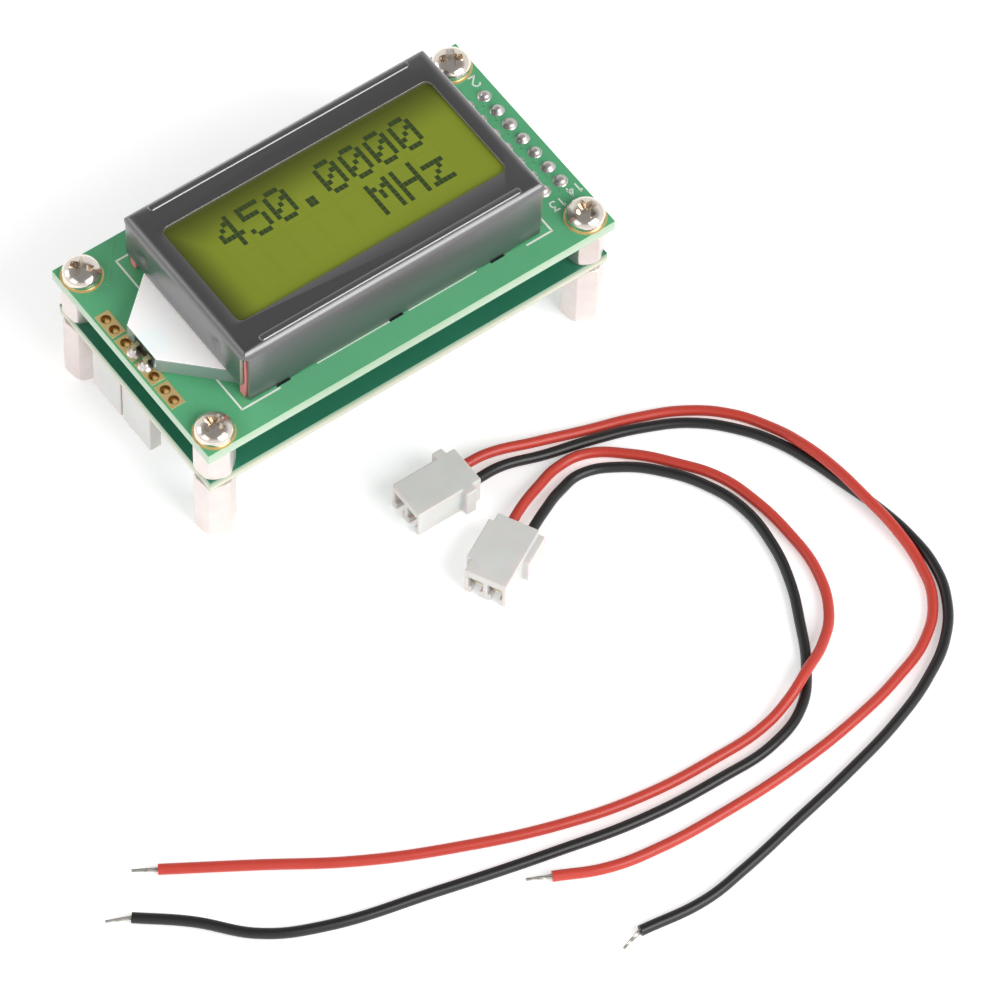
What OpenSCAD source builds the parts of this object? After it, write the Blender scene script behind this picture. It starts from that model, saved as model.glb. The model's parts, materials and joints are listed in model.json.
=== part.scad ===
// Panel frequency counter: two stacked circuit boards, an 8 x 2 character LCD
// and two loose plug-in leads. Origin at the bottom centre of the board feet.

/* [Boards] */
// Length of the display board
board_l = 58; // [56:0.5:62]
// Width of the display board
board_w = 32; // [31:0.5:36]
// Thickness of both boards
board_t = 1.6; // [1.2:0.2:2]
// How much shorter and narrower the main board is
main_less = 1; // [0.5:0.5:2]
// Hole spacing along the boards
hole_dx = 53; // [50:0.5:55]
// Hole spacing across the boards
hole_dy = 27; // [26:0.5:30]

/* [Stack] */
// Height of the feet under the main board
foot_h = 10; // [9:0.5:12]
// Gap between the boards
spacer_h = 5; // [4.8:0.2:8]
// Width across the flats of feet and spacers
hex_af = 4.5; // [4:0.1:5]
// Diameter of the screw thread
thread_d = 2.5; // [2.5:0.5:3]

/* [Display] */
// Length of the LCD bezel
bezel_l = 43; // [42:0.5:44]
// Width of the LCD bezel
bezel_w = 24.8; // [24:0.2:26]
// Height of the bezel above the display board
bezel_h = 9.2; // [8.8:0.2:11]
// Length of the bezel's window
window_l = 38; // [34:0.5:38]
// Width of the bezel's window
window_w = 16; // [14:0.5:17]
// Thickness of the light guide
guide_t = 2.35; // [2:0.05:2.8]

/* [Leads] */
// Outer diameter of each wire
wire_d = 1.3; // [1:0.1:1.4]
// Length of a plug's housing
plug_l = 9; // [8:0.2:10]
// Bared length at each wire's end
tip_l = 3; // [2:0.5:4]

/* [Hidden] */
$fn = 48;
wire_sides = 8;
eps = 0.01;

// Levels of the stack, from the floor up
main_bot = foot_h;
main_top = main_bot + board_t;
disp_bot = main_top + spacer_h;
disp_top = disp_bot + board_t;
pad_t = 0.05;
main_l = board_l - main_less;
main_w = board_w - main_less;

// Threads are drawn plain: a stud or screw runs in a bore one clearance wider
stud_r = thread_d / 2 - 0.03;
stud_bore_r = thread_d / 2;
tap_r = 1.025;
board_hole_r = thread_d / 2 + 0.1;
stud_h = board_t + 1.9;
screw_len = board_t + 2.35;
head_r = 2.4;
head_h = 1.9;
cross_w = 0.7;
cross_l = 2.6;
cross_deep = 1.2;

// Pin header at the right end, two rows of seven
pitch = 2.54;
header_rows = 7;
header_x = board_l / 2 - 3.07;
pin_w = 0.64;
pin_hole_r = 0.5;
header_h = 2.54;
dome_r = 0.8;
dome_h = 0.7;

// Gold pads for the backlight at the left end, each drilled twice
pad_x = -board_l / 2 + 1.23;
pad_l = 3.7;
pad_w = 1.95;
pad_pitch = 4.04;
pad_y0 = -6.33;
pad_hole_dy = 1.74;
pad_hole_r = 0.64;
led_pad_low = pad_y0 + pad_pitch + pad_hole_dy / 2;
led_pad_high = pad_y0 + 2 * pad_pitch - pad_hole_dy / 2;

// Bezel, glass and guide
sheet = 0.5;
bend_h = 1.1;
corner_gap = 0.8;
bezel_lift = 0.45;
left_lift = 2.8;
rib_w = 1;
rib_h = 0.2;
tab_w = 1.6;
tab_shoulder = 4.4;
tab_xs = [-16, 0, 14.5];
glass_t = 1.1;
film_t = 0.2;
glass_l = bezel_l - 1.4;
front_glass_w = bezel_w - 1.4;
rear_glass_w = 20;
front_top = disp_top + bezel_h - sheet - film_t;
rear_bot = front_top - 2 * glass_t;
strip_t = 1;
strip_y = front_glass_w / 2 - 0.6;
guide_bot = disp_top + pad_t;
guide_top = guide_bot + guide_t;
diffuser_l = window_l + 1;
diffuser_w = 19;
diffuser_t = 0.15;
carrier_bot = guide_top + diffuser_t;
// The guide's nose reaches over the pads, and its shoulders fill the bezel
guide_nose = pad_x + 0.57;
guide_end = window_l / 2 + 1;
guide_shoulder = -bezel_l / 2 + 0.5;
guide_half_w = 10;
hex_turn = 9;
hex_chamfer = 0.5;
led_pin = 0.45;
led_l = 2.6;
led_w = 3.4;
led_h = 1.9;

// Sockets and plugs with a 2.5 mm pitch
way = 2.5;
socket_l = 7.45;
socket_w = 5.75;
socket_h = 7;
socket_x = -24.7;
power_socket_y = 6.07;
signal_socket_y = -0.03;
socket_wall = 0.6;
socket_floor = 1.6;
plug_w = 5.4;
plug_h = 4.3;
ear_w = 7.2;
ear_l = 4.4;
neck_l = 1.2;
flange_l = 1.5;
rail_l = 6;
rail_out = 0.6;
mouth = 1.9;
contact_w = 1.5;
// Where the wires leave each plug, and the way the plug points
power_rear = [0.5, -26.4];
power_turn = 0;
signal_rear = [0.6, -36.4];
signal_turn = 28;

// Wire routes: the first point lies at the plug's rear face, the last at the
// bared end. Red crosses over black once in each lead.
power_red_route = [[0.5, -25.15, 2.15], [4, -25.3, 2], [10, -26.8, 1.2], [16, -28.6, 0.7],
    [22, -30.6, 0.7], [27.5, -33.2, 0.7], [31.5, -36.6, 0.7], [34, -40.5, 0.8],
    [35.3, -45, 1.7], [36.2, -50, 2.1], [36.7, -56, 2.1], [37.1, -61.5, 1.5],
    [36.7, -66.5, 0.8], [35, -71, 0.7], [31, -74.8, 0.7], [25, -77.2, 0.7],
    [17.5, -78.9, 0.7], [8, -80, 0.7], [-2, -80.2, 0.7], [-11, -79.7, 0.7],
    [-17.5, -78.4, 0.7], [-23.3, -75.7, 0.7]];
power_black_route = [[0.5, -27.65, 2.15], [4.5, -27.5, 1.6], [10, -28.7, 0.8],
    [16, -30.2, 0.7], [22, -32.3, 0.7], [27, -35, 0.7], [31, -39, 0.7], [33.5, -43, 0.7],
    [35.2, -47.5, 0.7], [36.4, -52, 0.7], [37.6, -57, 0.7], [38.3, -62.5, 0.7],
    [38, -67.5, 0.7], [36.3, -72, 0.7], [33, -76, 0.7], [28, -79.2, 0.7],
    [21.5, -81.8, 0.7], [13, -84, 0.7], [4, -85.8, 0.7], [-5, -87.5, 0.7],
    [-11, -88.2, 0.7], [-19.4, -87.2, 0.7]];
signal_red_route = [[0, -35.3, 2.15], [3, -33.7, 2], [6.5, -32.2, 1.4], [10.2, -31, 0.8],
    [14, -31.3, 0.7], [18.5, -34.5, 0.7], [22, -38.5, 0.7], [25, -43, 0.7],
    [26.4, -48, 0.7], [26.9, -54, 0.7], [26.4, -60, 0.7], [24, -65.5, 0.8],
    [20.5, -68.8, 1.3], [16.5, -71, 2.1], [12.5, -72.7, 1.5], [8.5, -73.6, 0.8],
    [1, -73.8, 0.7], [-9, -73, 0.7], [-18.5, -70.7, 0.7], [-30, -66.3, 0.7],
    [-40, -61.4, 0.7], [-50, -55, 0.7], [-59.2, -49.2, 0.7]];
signal_black_route = [[1.2, -37.5, 2.15], [5, -35.5, 1.6], [8.5, -33.9, 0.9],
    [12, -33.3, 0.7], [16.5, -35.3, 0.7], [20, -38.5, 0.7], [23, -43, 0.7],
    [24.6, -48, 0.7], [24.4, -54, 0.7], [22.9, -59.5, 0.7], [20.5, -64.5, 0.7],
    [17.5, -69.7, 0.7], [13.5, -74, 0.7], [8, -76.1, 0.7], [0, -76.3, 0.7],
    [-10.5, -75.5, 0.7], [-21, -73.3, 0.7], [-35, -69.8, 0.7], [-48.5, -66, 0.7],
    [-54.5, -62.8, 0.7], [-60, -57, 0.7], [-65.2, -52.7, 0.7]];
power_red_tip = 153;
power_black_tip = 195;
signal_red_tip = 148;
signal_black_tip = 155;
tip_gap = 0.05;

// Parts under the main board
switch_xs = [-12, -1, 10];
switch_y = -10;
switch_w = 6;
switch_h = 3.2;
cover_t = 0.2;
button_r = 1.7;
button_out = 1.6;
flange_r = 2.2;
flange_t = 0.6;
fit = 0.05;
mcu = [8.5, 5.5];
mcu_l = 11.5;
mcu_w = 7.5;
prescaler_at = [-10, -2];
prescaler_l = 4.9;
prescaler_w = 3.9;
crystal_at = [8.5, -3.2];
trimmer_at = [-1.5, -3];
trimmer_r = 3;
rotor_r = 2.4;
rotor_stem_r = 0.6;
regulator_at = [-13, 8.5];
cap_spots = [[-4.2, 9.6], [18.8, 4]];
cap_r = 2.5;
cap_h = 5.4;
diode_at = [-16.6, -2];
chip_l = 2;
chip_w = 1.25;
chip_t = 0.55;
resistor_spots = [[-17.5, 13], [-9, 13.4], [1, 13.4], [5, 13.4], [16, -4], [16, -7],
    [19.5, -9], [-19, -7], [-19.4, -4.4], [20, 9.5]];
capacitor_spots = [[9, 13.4], [13, 13.4], [17, 12], [-6, -6], [-17, 3], [16, -1],
    [20, -12], [-19, -11]];

// ---- shared shapes ----

// Draws its children at the four board holes
module at_holes() {
    for (sx = [-1, 1], sy = [-1, 1])
        translate([sx * hole_dx / 2, sy * hole_dy / 2, 0]) children();
}

// Draws its children at the header's fourteen pins
module at_pins() {
    for (col = [0, 1], row = [0 : header_rows - 1])
        translate([header_x + (col - 0.5) * pitch, (row - (header_rows - 1) / 2) * pitch, 0])
            children();
}

// A rectangle centred on X and Y that stands on z = 0
module block(l, w, h) {
    translate([-l / 2, -w / 2, 0]) cube([l, w, h]);
}

// A hexagonal bar with its corners chamfered at both ends
module hex_bar(flats, h) {
    corner_r = flats / 2 / cos(30);
    end_r = corner_r - hex_chamfer;
    intersection() {
        rotate(hex_turn) cylinder(r = corner_r, h = h, $fn = 6);
        rotate_extrude() polygon([[0, 0], [end_r, 0], [corner_r + 0.1, hex_chamfer + 0.1],
            [corner_r + 0.1, h - hex_chamfer - 0.1], [end_r, h], [0, h]]);
    }
}

// A low round cap of a ball, standing on z = 0
module cap(r, h) {
    ball = (r * r + h * h) / (2 * h);
    intersection() {
        translate([0, 0, h - ball]) sphere(r = ball);
        translate([0, 0, h / 2]) cube([2 * r + 1, 2 * r + 1, h], center = true);
    }
}

// A solder joint: a low dome with a hole for its pin
module solder_dome(r, h, pin) {
    difference() {
        cap(r, h);
        translate([0, 0, -eps]) block(pin, pin, h + 2 * eps);
    }
}

// A low cone of solder with a hole for its pin
module solder_cone(r, h, pin) {
    difference() {
        cylinder(r1 = r, r2 = r * 0.55, h = h);
        translate([0, 0, -eps]) block(pin, pin, h + 2 * eps);
    }
}

// A rectangle with round corners
module round_rect(l, w, r) {
    square([l - 2 * r, w], center = true);
    square([l, w - 2 * r], center = true);
    for (sx = [-1, 1], sy = [-1, 1])
        translate([sx * (l / 2 - r), sy * (w / 2 - r)]) circle(r = r);
}

// A gull-wing leg that runs out along +X from a chip's side, hanging from z = 0
module gull_leg(out, drop, w) {
    foil = 0.2;
    translate([0, w / 2, 0]) rotate([90, 0, 0]) linear_extrude(w)
        polygon([[-0.2, -drop], [out * 0.45, -drop], [out * 0.6, -foil], [out, -foil],
            [out, 0], [out * 0.45, 0], [out * 0.3, -drop + foil], [-0.2, -drop + foil]]);
}

// Legs down both long sides of a chip that hangs under the main board
module chip_legs(count, spacing, body_w, out, drop, w) {
    for (side = [0, 180], i = [0 : count / 2 - 1])
        translate([0, 0, main_bot - 0.02])
            rotate(side + 90)
                translate([body_w / 2, (i - (count / 2 - 1) / 2) * spacing, 0])
                    gull_leg(out, drop, w);
}

// ---- boards and posts ----

module display_board() {
    color("mediumseagreen") difference() {
        translate([0, 0, disp_bot]) block(board_l, board_w, board_t);
        translate([0, 0, disp_bot - eps]) {
            at_holes() cylinder(r = board_hole_r, h = board_t + 2 * eps);
            at_pins() cylinder(r = pin_hole_r, h = board_t + 2 * eps);
            for (i = [0 : 3], s = [-1, 1])
                translate([pad_x, pad_y0 + i * pad_pitch + s * pad_hole_dy / 2, 0])
                    cylinder(r = pad_hole_r, h = board_t + 2 * eps);
            for (x = tab_xs, s = [-1, 1])
                translate([x, s * (bezel_w - sheet) / 2, 0])
                    block(tab_w + 0.4, sheet + 0.4, board_t + 2 * eps);
        }
    }
}

module main_board() {
    color("seagreen") difference() {
        translate([0, 0, main_bot]) block(main_l, main_w, board_t);
        translate([0, 0, main_bot - eps]) {
            at_holes() cylinder(r = board_hole_r, h = board_t + 2 * eps);
            at_pins() cylinder(r = pin_hole_r, h = board_t + 2 * eps);
            for (y = [power_socket_y, signal_socket_y], s = [-1, 1])
                translate([socket_x + s * way / 2, y, 0])
                    cylinder(r = pin_hole_r + 0.1, h = board_t + 2 * eps);
        }
    }
}

module board_feet() {
    color("silver") at_holes() difference() {
        union() {
            hex_bar(hex_af, foot_h);
            cylinder(r = stud_r, h = foot_h + stud_h);
        }
        translate([0, 0, -eps]) cylinder(r = tap_r, h = 6);
    }
}

module board_spacers() {
    color("silver") at_holes() difference() {
        translate([0, 0, main_top]) hex_bar(hex_af, spacer_h);
        translate([0, 0, main_top - eps]) cylinder(r = stud_bore_r, h = spacer_h + 2 * eps);
    }
}

module board_screws() {
    seat = disp_top + pad_t;
    color("gainsboro") at_holes() difference() {
        union() {
            translate([0, 0, seat - screw_len]) cylinder(r = stud_r, h = screw_len + head_h / 2);
            translate([0, 0, seat]) cap(head_r, head_h);
        }
        translate([0, 0, seat + head_h - cross_deep]) {
            block(cross_l, cross_w, cross_deep + eps);
            block(cross_w, cross_l, cross_deep + eps);
        }
    }
}

module screw_pads() {
    color("gold") translate([0, 0, disp_top]) at_holes() difference() {
        cylinder(r = 2.6, h = pad_t);
        translate([0, 0, -eps]) cylinder(r = board_hole_r, h = 1);
    }
}

module backlight_pads() {
    color("gold") for (i = [0 : 3])
        translate([pad_x, pad_y0 + i * pad_pitch, disp_top]) difference() {
            block(pad_w, pad_l, pad_t);
            for (s = [-1, 1])
                translate([0, s * pad_hole_dy / 2, -eps]) cylinder(r = pad_hole_r, h = 1);
        }
}

// ---- display ----

module lcd_bezel() {
    color("dimgray") difference() {
        union() {
            translate([0, 0, disp_top]) {
                difference() {
                    block(bezel_l, bezel_w, bezel_h);
                    translate([0, 0, -eps])
                        block(bezel_l - 2 * sheet, bezel_w - 2 * sheet, bezel_h - sheet + eps);
                }
                // stiffening ribs pressed along the top
                for (s = [-1, 1])
                    translate([-0.5, s * (bezel_w / 2 - 1.2), bezel_h - eps])
                        linear_extrude(rib_h + eps) round_rect(window_l - 1, rib_w, 0.45);
            }
            // tabs through the board
            for (x = tab_xs, s = [-1, 1])
                translate([x, s * (bezel_w - sheet) / 2, disp_bot - 1])
                    block(tab_w, sheet, bezel_lift + board_t + 1.2);
        }
        // window
        translate([0, 0, disp_top + bezel_h - 1]) linear_extrude(2)
            round_rect(window_l, window_w, 0.9);
        // open corners between the folded walls
        for (sx = [-1, 1], sy = [-1, 1])
            translate([sx * bezel_l / 2, sy * bezel_w / 2, disp_top - 1])
                block(2 * corner_gap, 2 * corner_gap, bezel_h + 1 - bend_h);
        // the long walls stand on the board only at the tabs' shoulders
        for (i = [0 : len(tab_xs)], s = [-1, 1]) {
            ends = [-bezel_l / 2 - 1, each tab_xs, bezel_l / 2 + 1];
            x0 = ends[i] + (i == 0 ? 0 : tab_shoulder / 2);
            x1 = ends[i + 1] - (i == len(tab_xs) ? 0 : tab_shoulder / 2);
            translate([(x0 + x1) / 2, s * bezel_w / 2, disp_top - 0.2])
                block(x1 - x0, 2, bezel_lift + 0.2);
        }
        // the light guide passes under the left wall
        translate([-bezel_l / 2, 0, disp_top - 1]) block(2, bezel_w - 2, left_lift + 1);
        translate([bezel_l / 2, 0, disp_top - 1]) block(2, bezel_w - 2, bezel_lift + 1);
    }
}

module front_polariser() {
    color("olivedrab") translate([0, 0, front_top]) block(window_l + 1.6, window_w + 2, film_t);
}

module front_glass() {
    color("yellowgreen") translate([0, 0, front_top - glass_t])
        block(glass_l, front_glass_w, glass_t);
}

module rear_glass() {
    color("yellowgreen") translate([0, 0, rear_bot]) block(glass_l, rear_glass_w, glass_t);
}

module rear_polariser() {
    color("olivedrab") translate([0, 0, rear_bot - film_t])
        block(window_l + 0.4, window_w + 0.8, film_t);
}

module contact_strips() {
    color("pink") for (s = [-1, 1])
        translate([0, s * strip_y, disp_top])
            block(glass_l + 0.2, strip_t, front_top - glass_t - disp_top);
}

module light_guide() {
    color("white") difference() {
        translate([0, 0, guide_bot]) linear_extrude(guide_t)
            polygon([[guide_end, -guide_half_w], [guide_end, guide_half_w],
                [-guide_end, guide_half_w], [guide_shoulder, 8.5], [guide_nose, 3.2],
                [guide_nose, -2.8], [guide_shoulder, -9], [-guide_end, -guide_half_w]]);
        translate([guide_nose - 1, (led_pad_low + led_pad_high) / 2 - led_w / 2 - fit,
            guide_bot + 0.2])
            cube([led_l + 1 + fit, led_w + 2 * fit, led_h + fit]);
    }
}

module diffuser_sheet() {
    color("white") translate([0, 0, guide_top]) block(diffuser_l, diffuser_w, diffuser_t);
}

module glass_carrier() {
    h = rear_bot - carrier_bot;
    color("whitesmoke") translate([0, 0, carrier_bot]) difference() {
        block(glass_l - 1, rear_glass_w, h);
        translate([0, 0, -eps]) block(window_l + 0.8, window_w + 1.2, h + 2 * eps);
    }
}

module backlight_led() {
    mid = (led_pad_low + led_pad_high) / 2;
    leg = led_pin;
    leg_z = guide_bot + 0.2 + led_h / 2;
    color("beige") {
        translate([guide_nose + led_l / 2, mid, guide_bot + 0.2]) block(led_l, led_w, led_h);
        for (y = [led_pad_low, led_pad_high]) {
            translate([pad_x - leg / 2, y - leg / 2, leg_z])
                cube([guide_nose - pad_x + leg / 2 + 0.5, leg, leg]);
            translate([pad_x, y, disp_bot - 0.8]) block(leg, leg, leg_z + leg - disp_bot + 0.8);
        }
    }
}

module led_solder() {
    color("silver") for (y = [led_pad_low, led_pad_high])
        translate([pad_x, y, disp_top + pad_t]) difference() {
            cylinder(r1 = 0.85, r2 = 0.45, h = 0.55);
            translate([0, 0, -eps]) block(led_pin, led_pin, 1);
            // cut back to the guide's nose
            translate([guide_nose - pad_x, -1, -eps]) cube(2);
        }
}

module driver_blobs() {
    color("black") for (x = [-9, 9])
        translate([x, 1, disp_bot - 1.2]) cylinder(r1 = 4, r2 = 5.6, h = 1.2);
}

module header_base() {
    color("black") translate([header_x, 0, main_top]) difference() {
        block(2 * pitch, header_rows * pitch, header_h);
        translate([-header_x, 0, -eps]) at_pins() block(pin_w, pin_w, header_h + 2 * eps);
    }
}

module header_pins() {
    color("goldenrod") translate([0, 0, main_bot - 1.1]) at_pins()
        block(pin_w, pin_w, disp_top + 0.5 - main_bot + 1.1);
}

module header_solder_top() {
    color("silver") translate([0, 0, disp_top]) at_pins() solder_dome(dome_r, dome_h, pin_w);
}

module header_solder_bottom() {
    color("silver") translate([0, 0, main_bot]) mirror([0, 0, 1]) at_pins()
        solder_cone(0.85, 0.8, pin_w);
}

// ---- sockets, plugs and their pins ----

module socket(y) {
    cavity_l = socket_l - 2 * socket_wall - 0.1;
    cavity_w = socket_w - 2 * socket_wall;
    translate([socket_x, y, main_bot - socket_h]) difference() {
        block(socket_l, socket_w, socket_h);
        translate([0, 0, -eps]) block(cavity_l, cavity_w, socket_h - socket_floor);
        for (s = [-1, 1]) {
            translate([s * way / 2, 0, 0]) block(pin_w, pin_w, socket_h + 1);
            // key slots in one wall
            translate([s * 1.6, -socket_w / 2 + 0.3, -eps]) block(1, 1.2, 4.6);
        }
    }
}

module socket_pins(y) {
    for (s = [-1, 1])
        translate([socket_x + s * way / 2, y, main_bot - socket_floor - 3.4])
            block(pin_w, pin_w, socket_floor + 3.4 + board_t + 0.8);
}

module power_socket() {
    color("white") socket(power_socket_y);
}

module power_socket_pins() {
    color("silver") socket_pins(power_socket_y);
}

module signal_socket() {
    color("white") socket(signal_socket_y);
}

module signal_socket_pins() {
    color("silver") socket_pins(signal_socket_y);
}

// Places its children with the plug's rear face at x = 0 and wires leaving to +X
module at_plug(rear, turn) {
    translate([rear[0], rear[1], 0]) rotate(turn) children();
}

// A two-way plug housing that lies on its latch side
module plug_body() {
    latch_l = 2.2;
    latch_w = 1.1;
    difference() {
        translate([-plug_l / 2, 0, 0]) block(plug_l, plug_w, plug_h);
        for (s = [-1, 1]) {
            translate([-plug_l / 2, s * way / 2, plug_h / 2 - mouth / 2])
                block(plug_l + 1, mouth, mouth);
            // latch slot below each contact, open at the front
            translate([-plug_l + latch_l / 2 - 0.5, s * way / 2, -eps])
                block(latch_l + 1, latch_w, plug_h / 2);
        }
    }
}

// An ear on one side of a plug, from x along to the rear
module plug_ear(side, from, out, low, high, l) {
    translate([from, side > 0 ? plug_w / 2 - eps : -plug_w / 2 - out, low])
        cube([l, out + eps, high - low]);
}

// Crimp contacts inside a plug: a box at the front and a barrel round the wire
module plug_contacts() {
    box_l = 5;
    front = -plug_l + 0.8;
    barrel_l = -1.2 - front - box_l;
    for (s = [-1, 1]) translate([front, s * way / 2, plug_h / 2]) {
        difference() {
            translate([box_l / 2, 0, -contact_w / 2]) block(box_l, contact_w, contact_w);
            translate([1.9, 0, -0.4]) block(4, 0.8, 0.8);
        }
        translate([box_l - eps, 0, 0]) rotate([0, 90, 0]) cylinder(r = 0.7, h = barrel_l);
        // the barrel's last stretch reaches the wire's cut face
        translate([box_l + barrel_l - eps, 0, 0]) rotate([0, 90, 0])
            cylinder(r = 0.45, h = 1.2 + eps);
    }
}

// Keeps a unit vector's direction
function unit(v) = v / norm(v);
// Direction of a route at point i
function heading(p, i) = unit(p[min(i + 1, len(p) - 1)] - p[max(i - 1, 0)]);
// Level direction across a route, and the one above it
function across(t) = unit([-t[1], t[0], 0]);
function above(t) = cross(across(t), t) * -1;
// One ring of points round a route's point
function ring(p, t, r) = [for (k = [0 : wire_sides - 1])
    let (a = (k + 0.5) * 360 / wire_sides)
    p + r * (cos(a) * across(t) + sin(a) * above(t))];

// A wire swept along its route as one tube
module wire(route, first_heading) {
    n = len(route);
    headings = [for (i = [0 : n - 1]) i == 0 ? first_heading : heading(route, i)];
    points = [for (i = [0 : n - 1]) each ring(route[i], headings[i], wire_d / 2)];
    sides = [for (i = [0 : n - 2], k = [0 : wire_sides - 1])
        let (a = i * wire_sides + k, b = i * wire_sides + (k + 1) % wire_sides)
        [b, a, a + wire_sides, b + wire_sides]];
    caps = [[for (k = [0 : wire_sides - 1]) k],
        [for (k = [wire_sides - 1 : -1 : 0]) (n - 1) * wire_sides + k]];
    polyhedron(points, concat(sides, caps));
}

// The bared, tinned strands at a wire's end, pointing along an angle
module wire_tip(route, angle) {
    last = route[len(route) - 1];
    translate(last) rotate(angle) translate([tip_gap, 0, 0]) rotate([0, 90, 0])
        cylinder(r = 0.3, h = tip_l);
}

module power_plug() {
    color("whitesmoke") at_plug(power_rear, power_turn) {
        plug_body();
        for (side = [-1, 1])
            plug_ear(side, -neck_l - flange_l, (ear_w - plug_w) / 2, 0, plug_h, flange_l);
    }
}

module power_plug_contacts() {
    color("khaki") at_plug(power_rear, power_turn) plug_contacts();
}

module power_red_wire() {
    color("tomato") wire(power_red_route, [cos(power_turn), sin(power_turn), 0]);
}

module power_black_wire() {
    color("dimgray") wire(power_black_route, [cos(power_turn), sin(power_turn), 0]);
}

module power_wire_tips() {
    color("silver") {
        wire_tip(power_red_route, power_red_tip);
        wire_tip(power_black_route, power_black_tip);
    }
}

module signal_plug() {
    color("whitesmoke") at_plug(signal_rear, signal_turn) {
        plug_body();
        plug_ear(1, -neck_l - rail_l, rail_out, 0.6, plug_h, rail_l);
        plug_ear(-1, -0.3 - ear_l, (ear_w - plug_w) / 2, 0.4, plug_h - 0.4, ear_l);
    }
}

module signal_plug_contacts() {
    color("khaki") at_plug(signal_rear, signal_turn) plug_contacts();
}

module signal_red_wire() {
    color("tomato") wire(signal_red_route, [cos(signal_turn), sin(signal_turn), 0]);
}

module signal_black_wire() {
    color("dimgray") wire(signal_black_route, [cos(signal_turn), sin(signal_turn), 0]);
}

module signal_wire_tips() {
    color("silver") {
        wire_tip(signal_red_route, signal_red_tip);
        wire_tip(signal_black_route, signal_black_tip);
    }
}

// ---- parts under the main board ----

// Hangs its children, drawn upward from z = 0, under the main board
module under(at) {
    translate([at[0], at[1], main_bot]) mirror([0, 0, 1]) children();
}

module microcontroller() {
    color("black") under(mcu) difference() {
        translate([0, 0, 0.2]) block(mcu_l, mcu_w, 2.1);
        translate([mcu_l / 2 - 1.2, mcu_w / 2 - 1.2, 2.2]) cylinder(r = 0.5, h = 1);
    }
}

module microcontroller_legs() {
    color("silver") translate([mcu[0], mcu[1], 0])
        chip_legs(18, 1.27, mcu_w + 0.4, 1.4, 1.2, 0.42);
}

module prescaler() {
    color("black") under(prescaler_at) difference() {
        translate([0, 0, 0.15]) block(prescaler_l, prescaler_w, 1.5);
        translate([-1.7, -1.2, 1.55]) cylinder(r = 0.4, h = 1);
    }
}

module prescaler_legs() {
    color("silver") translate([prescaler_at[0], prescaler_at[1], 0])
        chip_legs(8, 1.27, prescaler_w + 0.4, 1.1, 0.9, 0.42);
}

module crystal_can() {
    color("silver") under(crystal_at) {
        linear_extrude(0.4) round_rect(11.4, 4.8, 2.3);
        translate([0, 0, 0.4 - eps]) linear_extrude(3.2) round_rect(10.6, 4, 1.95);
    }
}

module trimmer_base() {
    color("royalblue") under(trimmer_at) difference() {
        union() {
            cylinder(r = trimmer_r, h = 1.6);
            block(2 * trimmer_r + 1.2, 1.4, 0.5);
        }
        translate([0, 0, 0.8]) cylinder(r = rotor_r + fit, h = 2);
        translate([0, 0, 0.3]) cylinder(r = rotor_stem_r + fit, h = 2);
    }
}

module trimmer_rotor() {
    color("gainsboro") under(trimmer_at) difference() {
        union() {
            translate([0, 0, 0.8 + fit]) cylinder(r = rotor_r, h = 1.1);
            translate([0, 0, 0.3 + fit]) cylinder(r = rotor_stem_r, h = 1);
        }
        translate([0, 0, 1.4]) block(3.2, 0.6, 1);
    }
}

module voltage_regulator() {
    color("black") under(regulator_at) {
        translate([0, 0, 0.1]) block(6.5, 3.5, 1.6);
        for (x = [-2.3, 0, 2.3]) translate([x, -2.4, 0]) block(0.7, 1.8, 0.25);
        translate([0, 2.4, 0]) block(3, 1.8, 0.25);
    }
}

module filter_capacitors() {
    color("silver") for (at = cap_spots) under(at) {
        block(5.3, 5.3, 0.8);
        translate([0, 0, 0.8 - eps]) cylinder(r = cap_r, h = cap_h - 0.8);
    }
}

module protection_diode() {
    color("black") under(diode_at) {
        translate([0, 0, 0.15]) block(2.6, 4.3, 2.1);
        for (s = [-1, 1]) translate([0, s * 2.3, 0]) block(1.5, 1, 0.3);
    }
}

module chip_resistors() {
    color("black") for (at = resistor_spots) under(at) block(chip_l, chip_w, chip_t);
}

module chip_capacitors() {
    color("tan") for (at = capacitor_spots) under(at) block(chip_l, chip_w, chip_t + 0.25);
}

module switch_bases() {
    color("black") for (x = switch_xs) under([x, switch_y]) difference() {
        block(switch_w, switch_w, switch_h);
        translate([0, 0, 1]) cylinder(r = flange_r + 0.1, h = switch_h);
    }
}

module switch_covers() {
    color("silver") for (x = switch_xs) under([x, switch_y]) difference() {
        translate([0, 0, switch_h]) block(switch_w, switch_w, cover_t);
        translate([0, 0, switch_h - eps]) cylinder(r = button_r + fit, h = 1);
    }
}

module switch_legs() {
    color("silver") for (x = switch_xs, sx = [-1, 1], sy = [-1, 1])
        under([x + sx * (switch_w / 2 + 0.6), switch_y + sy * 2.25]) block(1.2, 0.7, 0.2);
}

// A push button held under its cover by a flange
module button(x) {
    top = switch_h - fit;
    under([x, switch_y]) {
        translate([0, 0, top - flange_t]) cylinder(r = flange_r, h = flange_t);
        translate([0, 0, 1.4]) cylinder(r = button_r, h = top + cover_t + button_out - 1.4);
    }
}

module mode_button() {
    color("dimgray") button(switch_xs[0]);
}

module up_button() {
    color("dimgray") button(switch_xs[1]);
}

module down_button() {
    color("dimgray") button(switch_xs[2]);
}

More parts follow.
